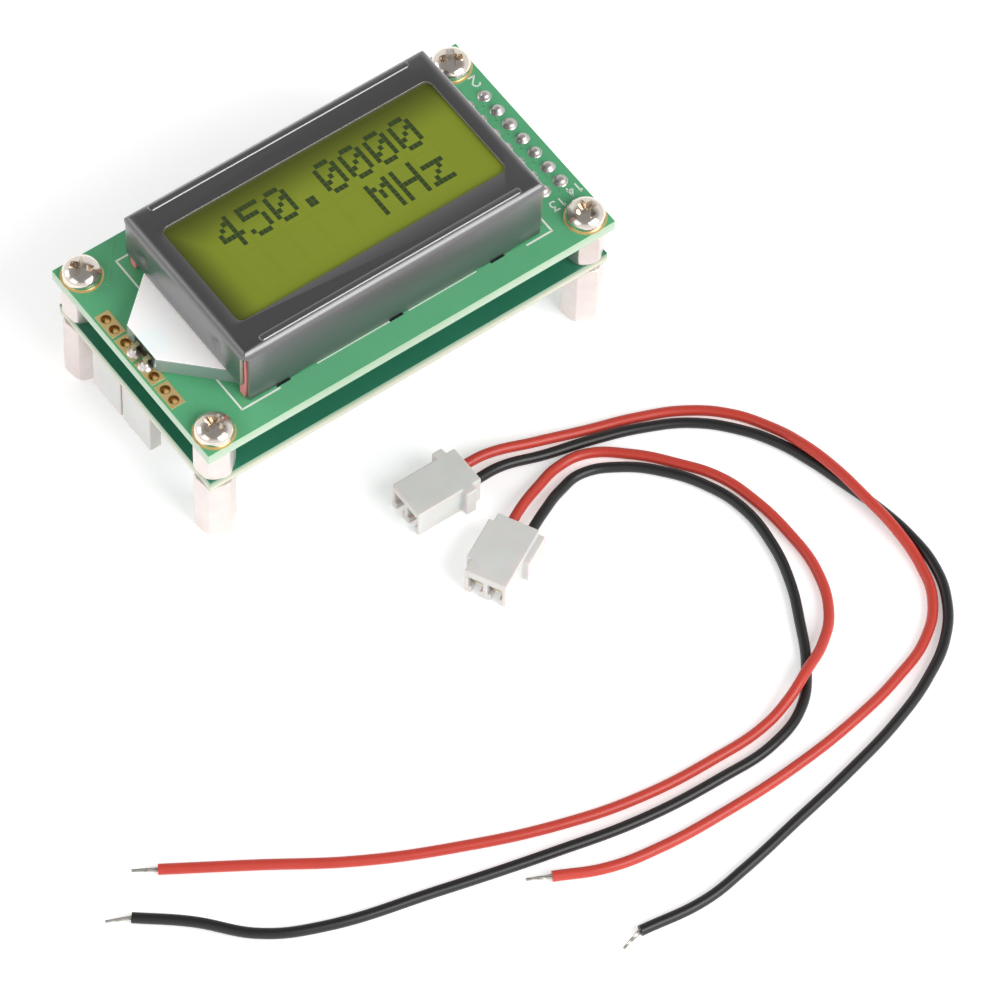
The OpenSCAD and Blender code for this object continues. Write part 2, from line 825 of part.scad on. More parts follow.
display_board();
main_board();
board_feet();
board_spacers();
board_screws();
screw_pads();
backlight_pads();
lcd_bezel();
front_polariser();
front_glass();
rear_glass();
rear_polariser();
contact_strips();
light_guide();
diffuser_sheet();
glass_carrier();
backlight_led();
led_solder();
driver_blobs();
header_base();
header_pins();
header_solder_top();
header_solder_bottom();
power_socket();
power_socket_pins();
signal_socket();
signal_socket_pins();
microcontroller();
microcontroller_legs();
prescaler();
prescaler_legs();
crystal_can();
trimmer_base();
trimmer_rotor();
voltage_regulator();
filter_capacitors();
protection_diode();
chip_resistors();
chip_capacitors();
switch_bases();
switch_covers();
switch_legs();
mode_button();
up_button();
down_button();
power_plug();
power_plug_contacts();
power_red_wire();
power_black_wire();
power_wire_tips();
signal_plug();
signal_plug_contacts();
signal_red_wire();
signal_black_wire();
signal_wire_tips();
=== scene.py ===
# %% [markdown]
# A frequency counter module, finished in Blender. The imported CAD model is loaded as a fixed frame:
# every board, post, chip and plug already has its size and its place. This lesson builds the camera and
# the loose leads first, then the finishes, and then the pieces whose real shape is softer or finer than
# their CAD stand-in: the folded bezel, the display, the solder and the moulded connectors.

# %% Load the frame
import json
import math

import bmesh
import bpy
from mathutils import Matrix, Vector


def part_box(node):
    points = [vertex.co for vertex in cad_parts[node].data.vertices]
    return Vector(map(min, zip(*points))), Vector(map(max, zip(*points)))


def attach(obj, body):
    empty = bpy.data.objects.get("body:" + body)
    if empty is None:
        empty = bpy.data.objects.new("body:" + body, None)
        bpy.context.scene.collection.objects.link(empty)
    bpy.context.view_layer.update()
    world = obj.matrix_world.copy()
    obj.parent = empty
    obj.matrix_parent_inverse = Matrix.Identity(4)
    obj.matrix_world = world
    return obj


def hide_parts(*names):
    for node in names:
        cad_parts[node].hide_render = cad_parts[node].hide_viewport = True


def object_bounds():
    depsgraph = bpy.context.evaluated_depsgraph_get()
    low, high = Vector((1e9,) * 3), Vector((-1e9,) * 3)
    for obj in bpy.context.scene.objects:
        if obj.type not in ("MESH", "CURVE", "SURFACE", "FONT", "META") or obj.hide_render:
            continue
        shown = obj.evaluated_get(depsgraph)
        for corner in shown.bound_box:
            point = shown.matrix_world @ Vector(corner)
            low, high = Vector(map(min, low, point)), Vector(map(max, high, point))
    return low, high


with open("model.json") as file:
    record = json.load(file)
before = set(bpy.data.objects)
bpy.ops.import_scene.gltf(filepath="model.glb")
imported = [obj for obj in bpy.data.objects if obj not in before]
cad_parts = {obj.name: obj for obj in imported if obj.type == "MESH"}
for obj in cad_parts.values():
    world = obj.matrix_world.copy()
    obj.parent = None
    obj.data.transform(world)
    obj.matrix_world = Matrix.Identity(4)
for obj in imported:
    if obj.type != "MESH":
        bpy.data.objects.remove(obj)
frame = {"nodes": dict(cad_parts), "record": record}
cad_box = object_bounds()
MM = 0.001
print("nodes in the frame:", len(frame["nodes"]))
print("whole object, low and high corner:", cad_box)


# %% [markdown]
# Positions come from the frame, so a few named levels are read from it once. Everything below is
# written in millimetres and turned to metres by one constant, because a circuit board's drawing is in
# millimetres.

# %% Levels and edges, in millimetres
def node_box(name):
    low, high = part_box(name)
    return Vector(low) / MM, Vector(high) / MM


board_low, board_high = node_box("display_board")
main_low, main_high = node_box("main_board")
bezel_low, bezel_high = node_box("lcd_bezel")
film_low, film_high = node_box("front_polariser")
guide_low, guide_high = node_box("light_guide")
BOARD_TOP = board_high.z
BEZEL_TOP = bezel_high.z
print("display board top", round(BOARD_TOP, 2), "bezel top", round(BEZEL_TOP, 2))

# %% [markdown]
# The camera comes before anything else, because it decides what has to be finished best. It looks down
# at the counter from the front left with a long lens, as a product picture is taken: a long lens keeps
# the board's edges nearly parallel. Its three axes are worked out from an azimuth, an elevation and a
# small roll, and it sits at a set distance from the middle of the view.

# %% Camera
AZIMUTH, ELEVATION, ROLL = (math.radians(a) for a in (-37.87, 56.18, 2.25))
DISTANCE = 850
VIEW_CENTRE = Vector((3.76, -28.56, -3.56))
LENS = 259.6

back = Vector((math.sin(AZIMUTH) * math.cos(ELEVATION),
               -math.cos(AZIMUTH) * math.cos(ELEVATION), math.sin(ELEVATION)))
level_right = Vector((math.cos(AZIMUTH), math.sin(AZIMUTH), 0))
level_up = back.cross(level_right)
right = math.cos(ROLL) * level_right + math.sin(ROLL) * level_up
up = math.cos(ROLL) * level_up - math.sin(ROLL) * level_right


def place_object(name, data):
    """A new object in the scene, at the origin."""
    made = bpy.data.objects.new(name, data)
    bpy.context.collection.objects.link(made)
    return made


camera = place_object("camera", bpy.data.cameras.new("camera"))
camera.data.lens = LENS
camera.data.clip_start = 0.05
camera.data.clip_end = 20
axes = Matrix((right, up, back)).transposed().to_4x4()
camera.matrix_world = Matrix.Translation((VIEW_CENTRE + DISTANCE * back) * MM) @ axes
bpy.context.scene.camera = camera
print("camera stands at", [round(v, 3) for v in camera.matrix_world.translation])

# %% [markdown]
# Light and floor. The real module lies on a white table under broad, soft light, so the floor is a pale
# sheet. The world is white at the horizon and greyer overhead: the upright faces stay bright, while the
# glossy bezel and the screen, which mirror the sky, stay dark. The strongest of three large area lights
# stands in front: it whitens the posts, lights the gap between the boards, and leaves the shadows
# behind the counter.

# %% Floor and lights
FLOOR_SIZE = 3.0
FLOOR_DROP = 0.00002
FLOOR_GLOW = 0.36
WHITE = (1, 1, 1, 1)
SKY_FADE = {"From Min": 0.45, "From Max": 0.8, "To Min": 0.92, "To Max": 0.31}


def set_inputs(node, values):
    """Sets a node's unlinked inputs from a dictionary of names and values."""
    for socket, value in values.items():
        node.inputs[socket].default_value = value


def mesh_from(bm, name):
    """A mesh with all of a bmesh in it; the bmesh is freed."""
    mesh = bpy.data.meshes.new(name)
    bm.to_mesh(mesh)
    bm.free()
    return mesh


scene = bpy.context.scene
scene.view_settings.view_transform = "Standard"

bm = bmesh.new()
bmesh.ops.create_grid(bm, x_segments=1, y_segments=1, size=FLOOR_SIZE / 2)
floor_mesh = mesh_from(bm, "floor")
floor_mesh.transform(Matrix.Translation((0, 0, cad_box[0][2] - FLOOR_DROP)))
floor = place_object("floor", floor_mesh)
floor_paint = bpy.data.materials.new("pale_floor")
floor_paint.use_nodes = True
set_inputs(floor_paint.node_tree.nodes["Principled BSDF"],
           {"Base Color": (0.9, 0.9, 0.9, 1), "Roughness": 0.7, "Emission Color": WHITE,
            "Emission Strength": FLOOR_GLOW})
floor_mesh.materials.append(floor_paint)

world = bpy.data.worlds.new("studio")
world.use_nodes = True
sky = world.node_tree
direction = sky.nodes.new("ShaderNodeTexCoord")
height = sky.nodes.new("ShaderNodeSeparateXYZ")
fade = sky.nodes.new("ShaderNodeMapRange")
fade.interpolation_type = "SMOOTHSTEP"
set_inputs(fade, SKY_FADE)
set_inputs(sky.nodes["Background"], {"Color": WHITE})
sky.links.new(direction.outputs["Generated"], height.inputs[0])
sky.links.new(height.outputs["Z"], fade.inputs["Value"])
sky.links.new(fade.outputs["Result"], sky.nodes["Background"].inputs["Strength"])
scene.world = world


def softbox(name, place, size, watts):
    """A large square light at a place in metres, turned towards the counter."""
    data = bpy.data.lights.new(name, "AREA")
    data.size = size
    data.energy = watts
    light = place_object(name, data)
    light.location = place
    light.rotation_euler = (-Vector(place)).to_track_quat("-Z", "Y").to_euler()


softbox("key", (0.3, -0.95, 0.75), 0.8, 12)
softbox("left", (-0.9, -0.1, 0.7), 0.6, 1.2)
softbox("back", (-0.75, 0.8, 0.6), 0.5, 2)

# %% [markdown]
# The leads. Each lead is two thin stranded wires that leave a plug, cross once and lie on the table. A
# real wire is a fixed length of round insulation, so each is one Bezier curve through a short list of
# places, with a round bevel for its body. The lists are the routes of the CAD model, in millimetres,
# and a place given without a height lies on the floor.

# %% Wire routes
WIRE_D = 1.3
REST = 0.7
ROUTES = {
    "power_red_wire": [
        (0.5, -25.15, 2.15), (4, -25.3, 2), (10, -26.8, 1.2), (16, -28.6), (22, -30.6), (27.5, -33.2),
        (31.5, -36.6), (34, -40.5, 0.8), (35.3, -45, 1.7), (36.2, -50, 2.1), (36.7, -56, 2.1),
        (37.1, -61.5, 1.5), (36.7, -66.5, 0.8), (35, -71), (31, -74.8), (25, -77.2), (17.5, -78.9),
        (8, -80), (-2, -80.2), (-11, -79.7), (-17.5, -78.4), (-23.3, -75.7)],
    "power_black_wire": [
        (0.5, -27.65, 2.15), (4.5, -27.5, 1.6), (10, -28.7, 0.8), (16, -30.2), (22, -32.3), (27, -35),
        (31, -39), (33.5, -43), (35.2, -47.5), (36.4, -52), (37.6, -57), (38.3, -62.5), (38, -67.5),
        (36.3, -72), (33, -76), (28, -79.2), (21.5, -81.8), (13, -84), (4, -85.8), (-5, -87.5),
        (-11, -88.2), (-19.4, -87.2)],
    "signal_red_wire": [
        (0, -35.3, 2.15), (3, -33.7, 2), (6.5, -32.2, 1.4), (10.2, -31, 0.8), (14, -31.3),
        (18.5, -34.5), (22, -38.5), (25, -43), (26.4, -48), (26.9, -54), (26.4, -60), (24, -65.5, 0.8),
        (20.5, -68.8, 1.3), (16.5, -71, 2.1), (12.5, -72.7, 1.5), (8.5, -73.6, 0.8), (1, -73.8),
        (-9, -73), (-18.5, -70.7), (-30, -66.3), (-40, -61.4), (-50, -55), (-59.2, -49.2)],
    "signal_black_wire": [
        (1.2, -37.5, 2.15), (5, -35.5, 1.6), (8.5, -33.9, 0.9), (12, -33.3), (16.5, -35.3), (20, -38.5),
        (23, -43), (24.6, -48), (24.4, -54), (22.9, -59.5), (20.5, -64.5), (17.5, -69.7), (13.5, -74),
        (8, -76.1), (0, -76.3), (-10.5, -75.5), (-21, -73.3), (-35, -69.8), (-48.5, -66),
        (-54.5, -62.8), (-60, -57), (-65.2, -52.7)],
}
ROUTES = {name: [(*place, REST)[:3] for place in places] for name, places in ROUTES.items()}
TIP_ANGLES = {"power_red_wire": 153, "power_black_wire": 195,
              "signal_red_wire": 148, "signal_black_wire": 155}


def route_length(points):
    """Length in millimetres of the straight runs between a route's points."""
    return sum((Vector(b) - Vector(a)).length for a, b in zip(points, points[1:]))


def wire_curve(name, points):
    """One open Bezier spline through the points, round in section and capped at both ends."""
    data = bpy.data.curves.new(name, "CURVE")
    data.dimensions = "3D"
    data.bevel_depth = WIRE_D / 2 * MM
    data.bevel_resolution = 5
    data.resolution_u = 10
    data.use_fill_caps = True
    spline = data.splines.new("BEZIER")
    spline.bezier_points.add(len(points) - 1)
    for knot, point in zip(spline.bezier_points, points):
        knot.co = Vector(point) * MM
        knot.handle_left_type = knot.handle_right_type = "AUTO"
    return place_object(name, data)


wires = {name: wire_curve("lead_" + name, points) for name, points in ROUTES.items()}
for name, points in ROUTES.items():
    print(name, "is about", round(route_length(points)), "mm long")

# %% [markdown]
# Each wire ends in a few millimetres of bare, tinned strands. Strands are twisted, so one ring of small
# circles is spun along the tip with a little travel at each step: the spin operator with a travel
# vector makes seven strands at once. The solder draws them together, so the bundle narrows towards its
# end.

# %% Stranded tips
TIP_LENGTH = 3
STRAND_R = 0.1
STRAND_TURN = 110
STRAND_TAPER = 0.4
STRAND_STEPS = 16
OUTER_STRANDS = 6
CROWDING = 0.95


def along(place, angle):
    """A matrix that lays a piece made along +Z down at a place, along an angle on the floor."""
    lay = Matrix.Rotation(math.radians(angle), 4, "Z") @ Matrix.Rotation(math.radians(90), 4, "Y")
    return Matrix.Translation(Vector(place)) @ lay


def stranded_tip(place, angle):
    """A bmesh of seven twisted strands that start at a place and lie along an angle."""
    bm = bmesh.new()
    for i in range(OUTER_STRANDS + 1):
        a = math.radians(360 / OUTER_STRANDS * i)
        off = 0 if i == OUTER_STRANDS else 2 * STRAND_R * CROWDING
        move = Matrix.Translation((off * math.cos(a), off * math.sin(a), 0))
        bmesh.ops.create_circle(bm, cap_ends=True, segments=8, radius=STRAND_R, matrix=move)
    bmesh.ops.spin(bm, geom=bm.verts[:] + bm.edges[:] + bm.faces[:], cent=(0, 0, 0), axis=(0, 0, 1),
                   dvec=(0, 0, TIP_LENGTH / STRAND_STEPS),
                   angle=math.radians(STRAND_TURN), steps=STRAND_STEPS)
    for vert in bm.verts:
        shrink = 1 - STRAND_TAPER * vert.co.z / TIP_LENGTH
        vert.co.x *= shrink
        vert.co.y *= shrink
    bmesh.ops.transform(bm, matrix=along(place, angle), verts=bm.verts)
    return bm


print("strand bundle is", round(6 * STRAND_R, 2), "mm across")

# %% [markdown]
# Finishes. A real surface is never one flat value: moulding, plating and solder mask all vary a little
# in colour and gloss, and catch the light unevenly. One shader node group makes that variation for
# every material, so it is built once with named sockets and placed in each material with its own
# values.

# %% Shader group: mottle
def new_group(name, inputs, outputs):
    """A shader node group with the given sockets; returns its tree and its two end nodes."""
    tree = bpy.data.node_groups.new(name, "ShaderNodeTree")
    for label, kind, value in inputs:
        socket = tree.interface.new_socket(label, in_out="INPUT", socket_type=kind)
        socket.default_value = value
    for label, kind in outputs:
        tree.interface.new_socket(label, in_out="OUTPUT", socket_type=kind)
    start = tree.nodes.new("NodeGroupInput")
    end = tree.nodes.new("NodeGroupOutput")
    return tree, start, end


def math_node(tree, operation, first, second=None, third=None):
    """A Math node fed by sockets or plain numbers; returns its output socket."""
    node = tree.nodes.new("ShaderNodeMath")
    node.operation = operation
    for socket, value in zip(node.inputs, (first, second, third)):
        if isinstance(value, bpy.types.NodeSocket):
            tree.links.new(value, socket)
        elif value is not None:
            socket.default_value = value
    return node.outputs[0]


def mix_colour(tree, factor, first, second):
    """A colour Mix node fed by sockets or colours; returns its output socket."""
    node = tree.nodes.new("ShaderNodeMix")
    node.data_type = "RGBA"
    for socket, value in zip((node.inputs[0], node.inputs[6], node.inputs[7]),
                             (factor, first, second)):
        if isinstance(value, bpy.types.NodeSocket):
            tree.links.new(value, socket)
        else:
            socket.default_value = value
    return node.outputs[2]


FLOAT, COLOUR, VECTOR = "NodeSocketFloat", "NodeSocketColor", "NodeSocketVector"
mottle, start, end = new_group(
    "mottle",
    [("Color", COLOUR, (0.5, 0.5, 0.5, 1)), ("Second Color", COLOUR, (0.4, 0.4, 0.4, 1)),
     ("Scale", FLOAT, 400), ("Spread", FLOAT, 0.5), ("Roughness", FLOAT, 0.4),
     ("Roughness Spread", FLOAT, 0.1), ("Bump", FLOAT, 0.1), ("Grain Scale", FLOAT, 4000)],
    [("Color", COLOUR), ("Roughness", FLOAT), ("Normal", VECTOR)])
place = mottle.nodes.new("ShaderNodeTexCoord")
cloud = mottle.nodes.new("ShaderNodeTexNoise")
cloud.inputs["Detail"].default_value = 4
grain = mottle.nodes.new("ShaderNodeTexNoise")
grain.inputs["Detail"].default_value = 2
for noise, scale in ((cloud, "Scale"), (grain, "Grain Scale")):
    mottle.links.new(place.outputs["Object"], noise.inputs["Vector"])
    mottle.links.new(start.outputs[scale], noise.inputs["Scale"])
patches = math_node(mottle, "MULTIPLY", cloud.outputs["Fac"], start.outputs["Spread"])
tint = mix_colour(mottle, patches, start.outputs["Color"], start.outputs["Second Color"])
swing = math_node(mottle, "MULTIPLY_ADD", math_node(mottle, "SUBTRACT", grain.outputs["Fac"], 0.5),
                  start.outputs["Roughness Spread"], start.outputs["Roughness"])
bump = mottle.nodes.new("ShaderNodeBump")
bump.inputs["Distance"].default_value = 0.00002
mottle.links.new(start.outputs["Bump"], bump.inputs["Strength"])
mottle.links.new(grain.outputs["Fac"], bump.inputs["Height"])
mottle.links.new(tint, end.inputs["Color"])
mottle.links.new(swing, end.inputs["Roughness"])
mottle.links.new(bump.outputs["Normal"], end.inputs["Normal"])
print("group", mottle.name, "has", len(mottle.nodes), "nodes")


# %% [markdown]
# A finish is one material built on that group. Its colours are written as they look, from 0 to 255, and
# turned to the linear values that a shader works in. Whatever else the shader should do, such as a
# clear coat or metal, is passed to it under the name of its own input.

# %% A material from the group
def srgb(red, green, blue):
    """A colour given as it looks, 0 to 255, turned to the linear values that shaders use."""
    def linear(value):
        value /= 255
        return value / 12.92 if value <= 0.04045 else ((value + 0.055) / 1.055) ** 2.4
    return (linear(red), linear(green), linear(blue), 1)


def finish(name, colour, second, scale=400, spread=0.6, rough=0.4, rough_spread=0.15, bump=0.1,
           grain_scale=4000, **constants):
    """A Principled material whose colours (0 to 255), roughness and bump come from the mottle group."""
    material = bpy.data.materials.new(name)
    material.use_nodes = True
    tree = material.node_tree
    shader = tree.nodes["Principled BSDF"]
    group = tree.nodes.new("ShaderNodeGroup")
    group.node_tree = mottle
    set_inputs(group, {"Color": srgb(*colour), "Second Color": srgb(*second), "Scale": scale,
                       "Spread": spread, "Roughness": rough, "Roughness Spread": rough_spread,
                       "Bump": bump, "Grain Scale": grain_scale})
    for label, socket in (("Color", "Base Color"), ("Roughness", "Roughness"), ("Normal", "Normal")):
        tree.links.new(group.outputs[label], shader.inputs[socket])
    set_inputs(shader, {label.replace("_", " "): value for label, value in constants.items()})
    return material


def open_finish(material):
    """A finish's node tree, the shader's colour input, what feeds it now, and where a point lies."""
    tree = material.node_tree
    colour = tree.nodes["Principled BSDF"].inputs["Base Color"]
    place = tree.nodes.new("ShaderNodeTexCoord").outputs["Object"]
    split = tree.nodes.new("ShaderNodeSeparateXYZ")
    tree.links.new(place, split.inputs[0])
    return tree, colour, colour.links[0].from_socket, place, split.outputs


def ramp_node(tree, value, first, last, interpolation="LINEAR"):
    """0 to 1 as a socket's value runs from one number of millimetres to another."""
    node = tree.nodes.new("ShaderNodeMapRange")
    node.interpolation_type = interpolation
    set_inputs(node, {"From Min": first * MM, "From Max": last * MM})
    tree.links.new(value, node.inputs["Value"])
    return node.outputs[0]


# %% [markdown]
# Metals, plastics and rubber. Nickel plate on the posts is dull and slightly warm, the screws are
# brighter, solder is bright but lumpy, and gold flash on the pads is pale. Natural nylon lets light
# into its skin, so it has subsurface scattering of about a millimetre. Wire insulation is soft PVC with
# a thin gloss.

# %% Plain finishes
paint = {
    "nickel": finish("nickel", (238, 228, 224), (212, 200, 196), 500, 0.7, 0.42, 0.25, 0.25,
                     Metallic=0.85),
    "screw_nickel": finish("screw_nickel", (238, 230, 220), (208, 196, 184), 900, 0.6, 0.16, 0.15, 0.3,
                           1600, Metallic=1.0),
    "gold": finish("gold", (246, 218, 156), (222, 188, 118), 700, 0.6, 0.34, 0.2, 0.15, Metallic=0.7),
    "solder": finish("solder", (222, 214, 212), (184, 176, 174), 1500, 0.7, 0.34, 0.2, 0.3, 1800,
                     Metallic=0.9),
    "tin": finish("tinned_copper", (205, 203, 196), (165, 160, 150), 900, 0.6, 0.3, 0.2, 0.2,
                  Metallic=1.0),
    "contact": finish("contact_tin", (206, 200, 176), (170, 160, 130), 800, 0.6, 0.32, 0.2, 0.2,
                      Metallic=1.0),
    "bezel": finish("bezel_black", (22, 22, 26), (14, 14, 17), 300, 0.6, 0.34, 0.12, 0.1, 2600,
                    Coat_Weight=1.0, Coat_Roughness=0.36, Coat_IOR=2.0),
    "cut_edge": finish("cut_steel", (176, 172, 160), (140, 136, 126), 900, 0.6, 0.4, 0.2, 0.2,
                       Metallic=0.8),
    "barrel": finish("hole_plating", (206, 166, 100), (150, 112, 60), 900, 0.7, 0.34, 0.2, 0.2,
                     Metallic=1.0),
    "guide_edge": finish("guide_edge", (138, 158, 150), (118, 140, 132), 300, 0.6, 0.2, 0.1, 0.05,
                         Coat_Weight=0.5),
    "rubber": finish("silicone_pink", (238, 150, 150), (214, 118, 122), 600, 0.7, 0.6, 0.15, 0.3,
                     Subsurface_Weight=0.2, Subsurface_Scale=0.001),
    # the light guide's white has a faint emission, a painted glow that brightens its top
    "acrylic": finish("guide_white", (250, 248, 247), (243, 241, 239), 120, 0.6, 0.3, 0.08, 0.03,
                      Subsurface_Weight=0.3, Subsurface_Scale=0.001, Emission_Color=WHITE,
                      Emission_Strength=0.14),
    "film": finish("film_white", (240, 240, 236), (226, 226, 220), 400, 0.5, 0.6),
    "frame_white": finish("frame_white", (226, 226, 220), (210, 210, 204), 400, 0.5, 0.5),
    "led": finish("led_body", (168, 166, 132), (140, 138, 104), 900, 0.6, 0.22, 0.1, 0.05,
                  Transmission_Weight=0.25),
    "epoxy": finish("epoxy_black", (26, 26, 28), (38, 38, 40), 700, 0.6, 0.42, 0.3, 0.5, 1500),
    "header": finish("header_black", (30, 30, 31), (42, 42, 43), 600, 0.5, 0.48, 0.15, 0.2),
    "nylon": finish("nylon_white", (214, 214, 212), (188, 188, 182), 260, 0.6, 0.36, 0.15, 0.12,
                    Subsurface_Weight=0.45, Subsurface_Scale=0.0012),
    "chip": finish("chip_black", (34, 35, 37), (46, 47, 49), 900, 0.6, 0.5, 0.2, 0.35, 6000),
    "can": finish("can_steel", (206, 206, 204), (180, 180, 178), 300, 0.6, 0.26, 0.2, 0.12,
                  Metallic=1.0),
    "trimmer": finish("trimmer_blue", (52, 84, 168), (40, 64, 140), 600, 0.6, 0.34, 0.12),
    "aluminium": finish("cap_aluminium", (212, 212, 214), (190, 190, 192), 500, 0.5, 0.26, 0.15, 0.1,
                        Metallic=1.0),
    "ceramic": finish("chip_ceramic_tan", (176, 138, 98), (150, 114, 80), 1500, 0.7, 0.4, 0.2, 0.2),
    "button": finish("button_grey", (40, 40, 41), (56, 56, 57), 500, 0.5, 0.46, 0.15, 0.2),
    "wire_red": finish("wire_red", (196, 60, 44), (178, 48, 36), 150, 0.7, 0.46, 0.12, 0.08,
                       Coat_Weight=0.15, Subsurface_Weight=0.15, Subsurface_Scale=0.0006),
    "wire_black": finish("wire_black", (13, 13, 14), (20, 20, 21), 150, 0.7, 0.42, 0.12, 0.08,
                         Coat_Weight=0.1),
    "silk": finish("silk_white", (232, 240, 226), (220, 224, 218), 900, 0.5, 0.6),
    "copper_under_mask": finish("copper_under_mask", (96, 182, 128), (80, 164, 112), 400, 0.6, 0.3, 0.15,
                                0.15, Coat_Weight=0.3),
    "trace_dark": finish("trace_dark", (48, 134, 96), (38, 116, 84), 400, 0.6, 0.3, 0.15, 0.15,
                         Coat_Weight=0.3),
}
print("finishes made:", len(paint))

# %% [markdown]
# Circuit board. A board is a sandwich: the broad faces wear green solder mask, and the sawn edges show
# the pale glass fibre. One material does both, by looking at how far a point lies from the board's top
# and bottom, so the CAD boards keep their own mesh. The sawn edge shows its layers of glass cloth as
# fine lines, and takes some green from the mask above it.

# %% Board material
MASK_SKIN = 0.04
CLOTH_LINES = 1600
CLOTH_WAVER = 1.5
CLOTH_DEPTH = 0.25
CLOTH_DARK = srgb(120, 124, 100)
TINT_FROM = 0.35


def board_finish(name, mask, mask_second, fibre, fibre_top, low, high):
    """Solder mask on the faces at heights low and high, bare glass fibre between them."""
    material = finish(name, mask, mask_second, 120, 0.7, 0.3, 0.12, 0.12, 2500, Coat_Weight=0.3,
                      Coat_Roughness=0.15)
    tree, colour, masked, place, split = open_finish(material)
    above = math_node(tree, "GREATER_THAN", split["Z"], (high - MASK_SKIN) * MM)
    below = math_node(tree, "LESS_THAN", split["Z"], (low + MASK_SKIN) * MM)
    on_face = math_node(tree, "MAXIMUM", above, below)
    wave = tree.nodes.new("ShaderNodeTexWave")
    wave.bands_direction = "Z"
    set_inputs(wave, {"Scale": CLOTH_LINES, "Distortion": CLOTH_WAVER})
    tree.links.new(place, wave.inputs["Vector"])
    # light soaks into the edge from the mask above, so the fibre is tinted towards its top
    tinted = mix_colour(tree, ramp_node(tree, split["Z"], low + TINT_FROM, high), fibre, fibre_top)
    lines = math_node(tree, "MULTIPLY", wave.outputs["Fac"], CLOTH_DEPTH)
    edge = mix_colour(tree, lines, tinted, CLOTH_DARK)
    tree.links.new(mix_colour(tree, on_face, edge, masked), colour)
    return material


paint["display_board"] = board_finish("board_green", (92, 177, 126), (78, 161, 114),
                                      srgb(182, 204, 182), srgb(164, 196, 160),
                                      board_low.z, board_high.z)
paint["main_board"] = board_finish("board_green_dark", (52, 124, 98), (40, 106, 82),
                                   srgb(214, 210, 190), srgb(74, 134, 98),
                                   main_low.z, main_high.z)
print("board finishes:", paint["display_board"].name, paint["main_board"].name)

# %% [markdown]
# From bmesh to finished piece. Every new piece is drawn in millimetres and handed to one function,
# which scales it to metres, points its faces outwards, sets which edges stay sharp, adds a small bevel
# where one is asked for, and says which body it rides on, which finish slot it takes and which CAD node
# it stands for.

# %% Piece helpers
BODY_OF = {node: body for body, nodes in frame["record"]["behaviour"]["bodies"].items()
           for node in nodes}


def register(piece, node, material, stands_for=True):
    """Gives a piece its material, parents it to the body of a CAD node, and hides that node when the
    piece stands for it.
    """
    piece.data.materials.clear()
    piece.data.materials.append(material)
    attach(piece, BODY_OF[node])
    if stands_for:
        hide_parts(node)
    return piece


def smooth_mesh(mesh, angle):
    """Shades a mesh smooth, except over edges sharper than an angle."""
    mesh.polygons.foreach_set("use_smooth", [True] * len(mesh.polygons))
    mesh.set_sharp_from_angle(angle=math.radians(angle))


def soften(piece, width, segments, angle):
    """A bevel, in millimetres, on every edge sharper than an angle."""
    edges = piece.modifiers.new("edges", "BEVEL")
    edges.width = width * MM
    edges.segments = segments
    edges.limit_method = "ANGLE"
    edges.angle_limit = math.radians(angle)
    return edges


def make_piece(bm, name, node, material, bevel=0, segments=2, smooth=35, stands_for=True,
               recalc=True):
    """Turns a bmesh in millimetres into a finished piece at the origin."""
    if recalc:
        bmesh.ops.recalc_face_normals(bm, faces=bm.faces)
    bmesh.ops.scale(bm, vec=(MM, MM, MM), verts=bm.verts)
    mesh = mesh_from(bm, name)
    smooth_mesh(mesh, smooth)
    piece = place_object(name, mesh)
    if bevel:
        soften(piece, bevel, segments, 40).harden_normals = True
    return register(piece, node, material, stands_for)


def cad_copy(node):
    """A merged copy of a CAD node's mesh, in millimetres, with flat stretches joined up again."""
    bm = bmesh.new()
    bm.from_mesh(frame["nodes"][node].data)
    bmesh.ops.scale(bm, vec=(1 / MM,) * 3, verts=bm.verts)
    bmesh.ops.remove_doubles(bm, verts=bm.verts, dist=0.002)
    bmesh.ops.dissolve_limit(bm, angle_limit=math.radians(1), verts=bm.verts, edges=bm.edges)
    return bm


def refine(node, material, bevel, segments=2):
    """A CAD node's own shape with its sharp edges rounded."""
    return make_piece(cad_copy(node), node + "_moulded", node, material, bevel, segments,
                      recalc=False)


def island_boxes(node):
    """Lowest and highest corner, in millimetres, of each separate solid in a CAD node."""
    bm = bmesh.new()
    bm.from_mesh(frame["nodes"][node].data)
    bmesh.ops.remove_doubles(bm, verts=bm.verts, dist=0.000002)
    left, boxes = set(bm.verts), []
    while left:
        reach = [left.pop()]
        island = []
        while reach:
            vert = reach.pop()
            island.append(vert.co / MM)
            for edge in vert.link_edges:
                other = edge.other_vert(vert)
                if other in left:
                    left.discard(other)
                    reach.append(other)
        boxes.append((Vector(min(c[k] for c in island) for k in range(3)),
                      Vector(max(c[k] for c in island) for k in range(3))))
    bm.free()
    return sorted(boxes, key=lambda box: tuple(round(v, 3) for v in box[0]))


def middle(low, high):
    """The (x, y) middle of a box."""
    return (low.x + high.x) / 2, (low.y + high.y) / 2


def add_part(bm, part):
    """Moves all of one bmesh into another."""
    mesh = mesh_from(part, "part")
    bm.from_mesh(mesh)
    bpy.data.meshes.remove(mesh)


def add_box(bm, low, high):
    """A box between two corners; returns its vertices."""
    low, high = Vector(low), Vector(high)
    verts = bmesh.ops.create_cube(bm, size=1)["verts"]
    bmesh.ops.scale(bm, vec=high - low, verts=verts)
    bmesh.ops.translate(bm, vec=(low + high) / 2, verts=verts)
    return verts


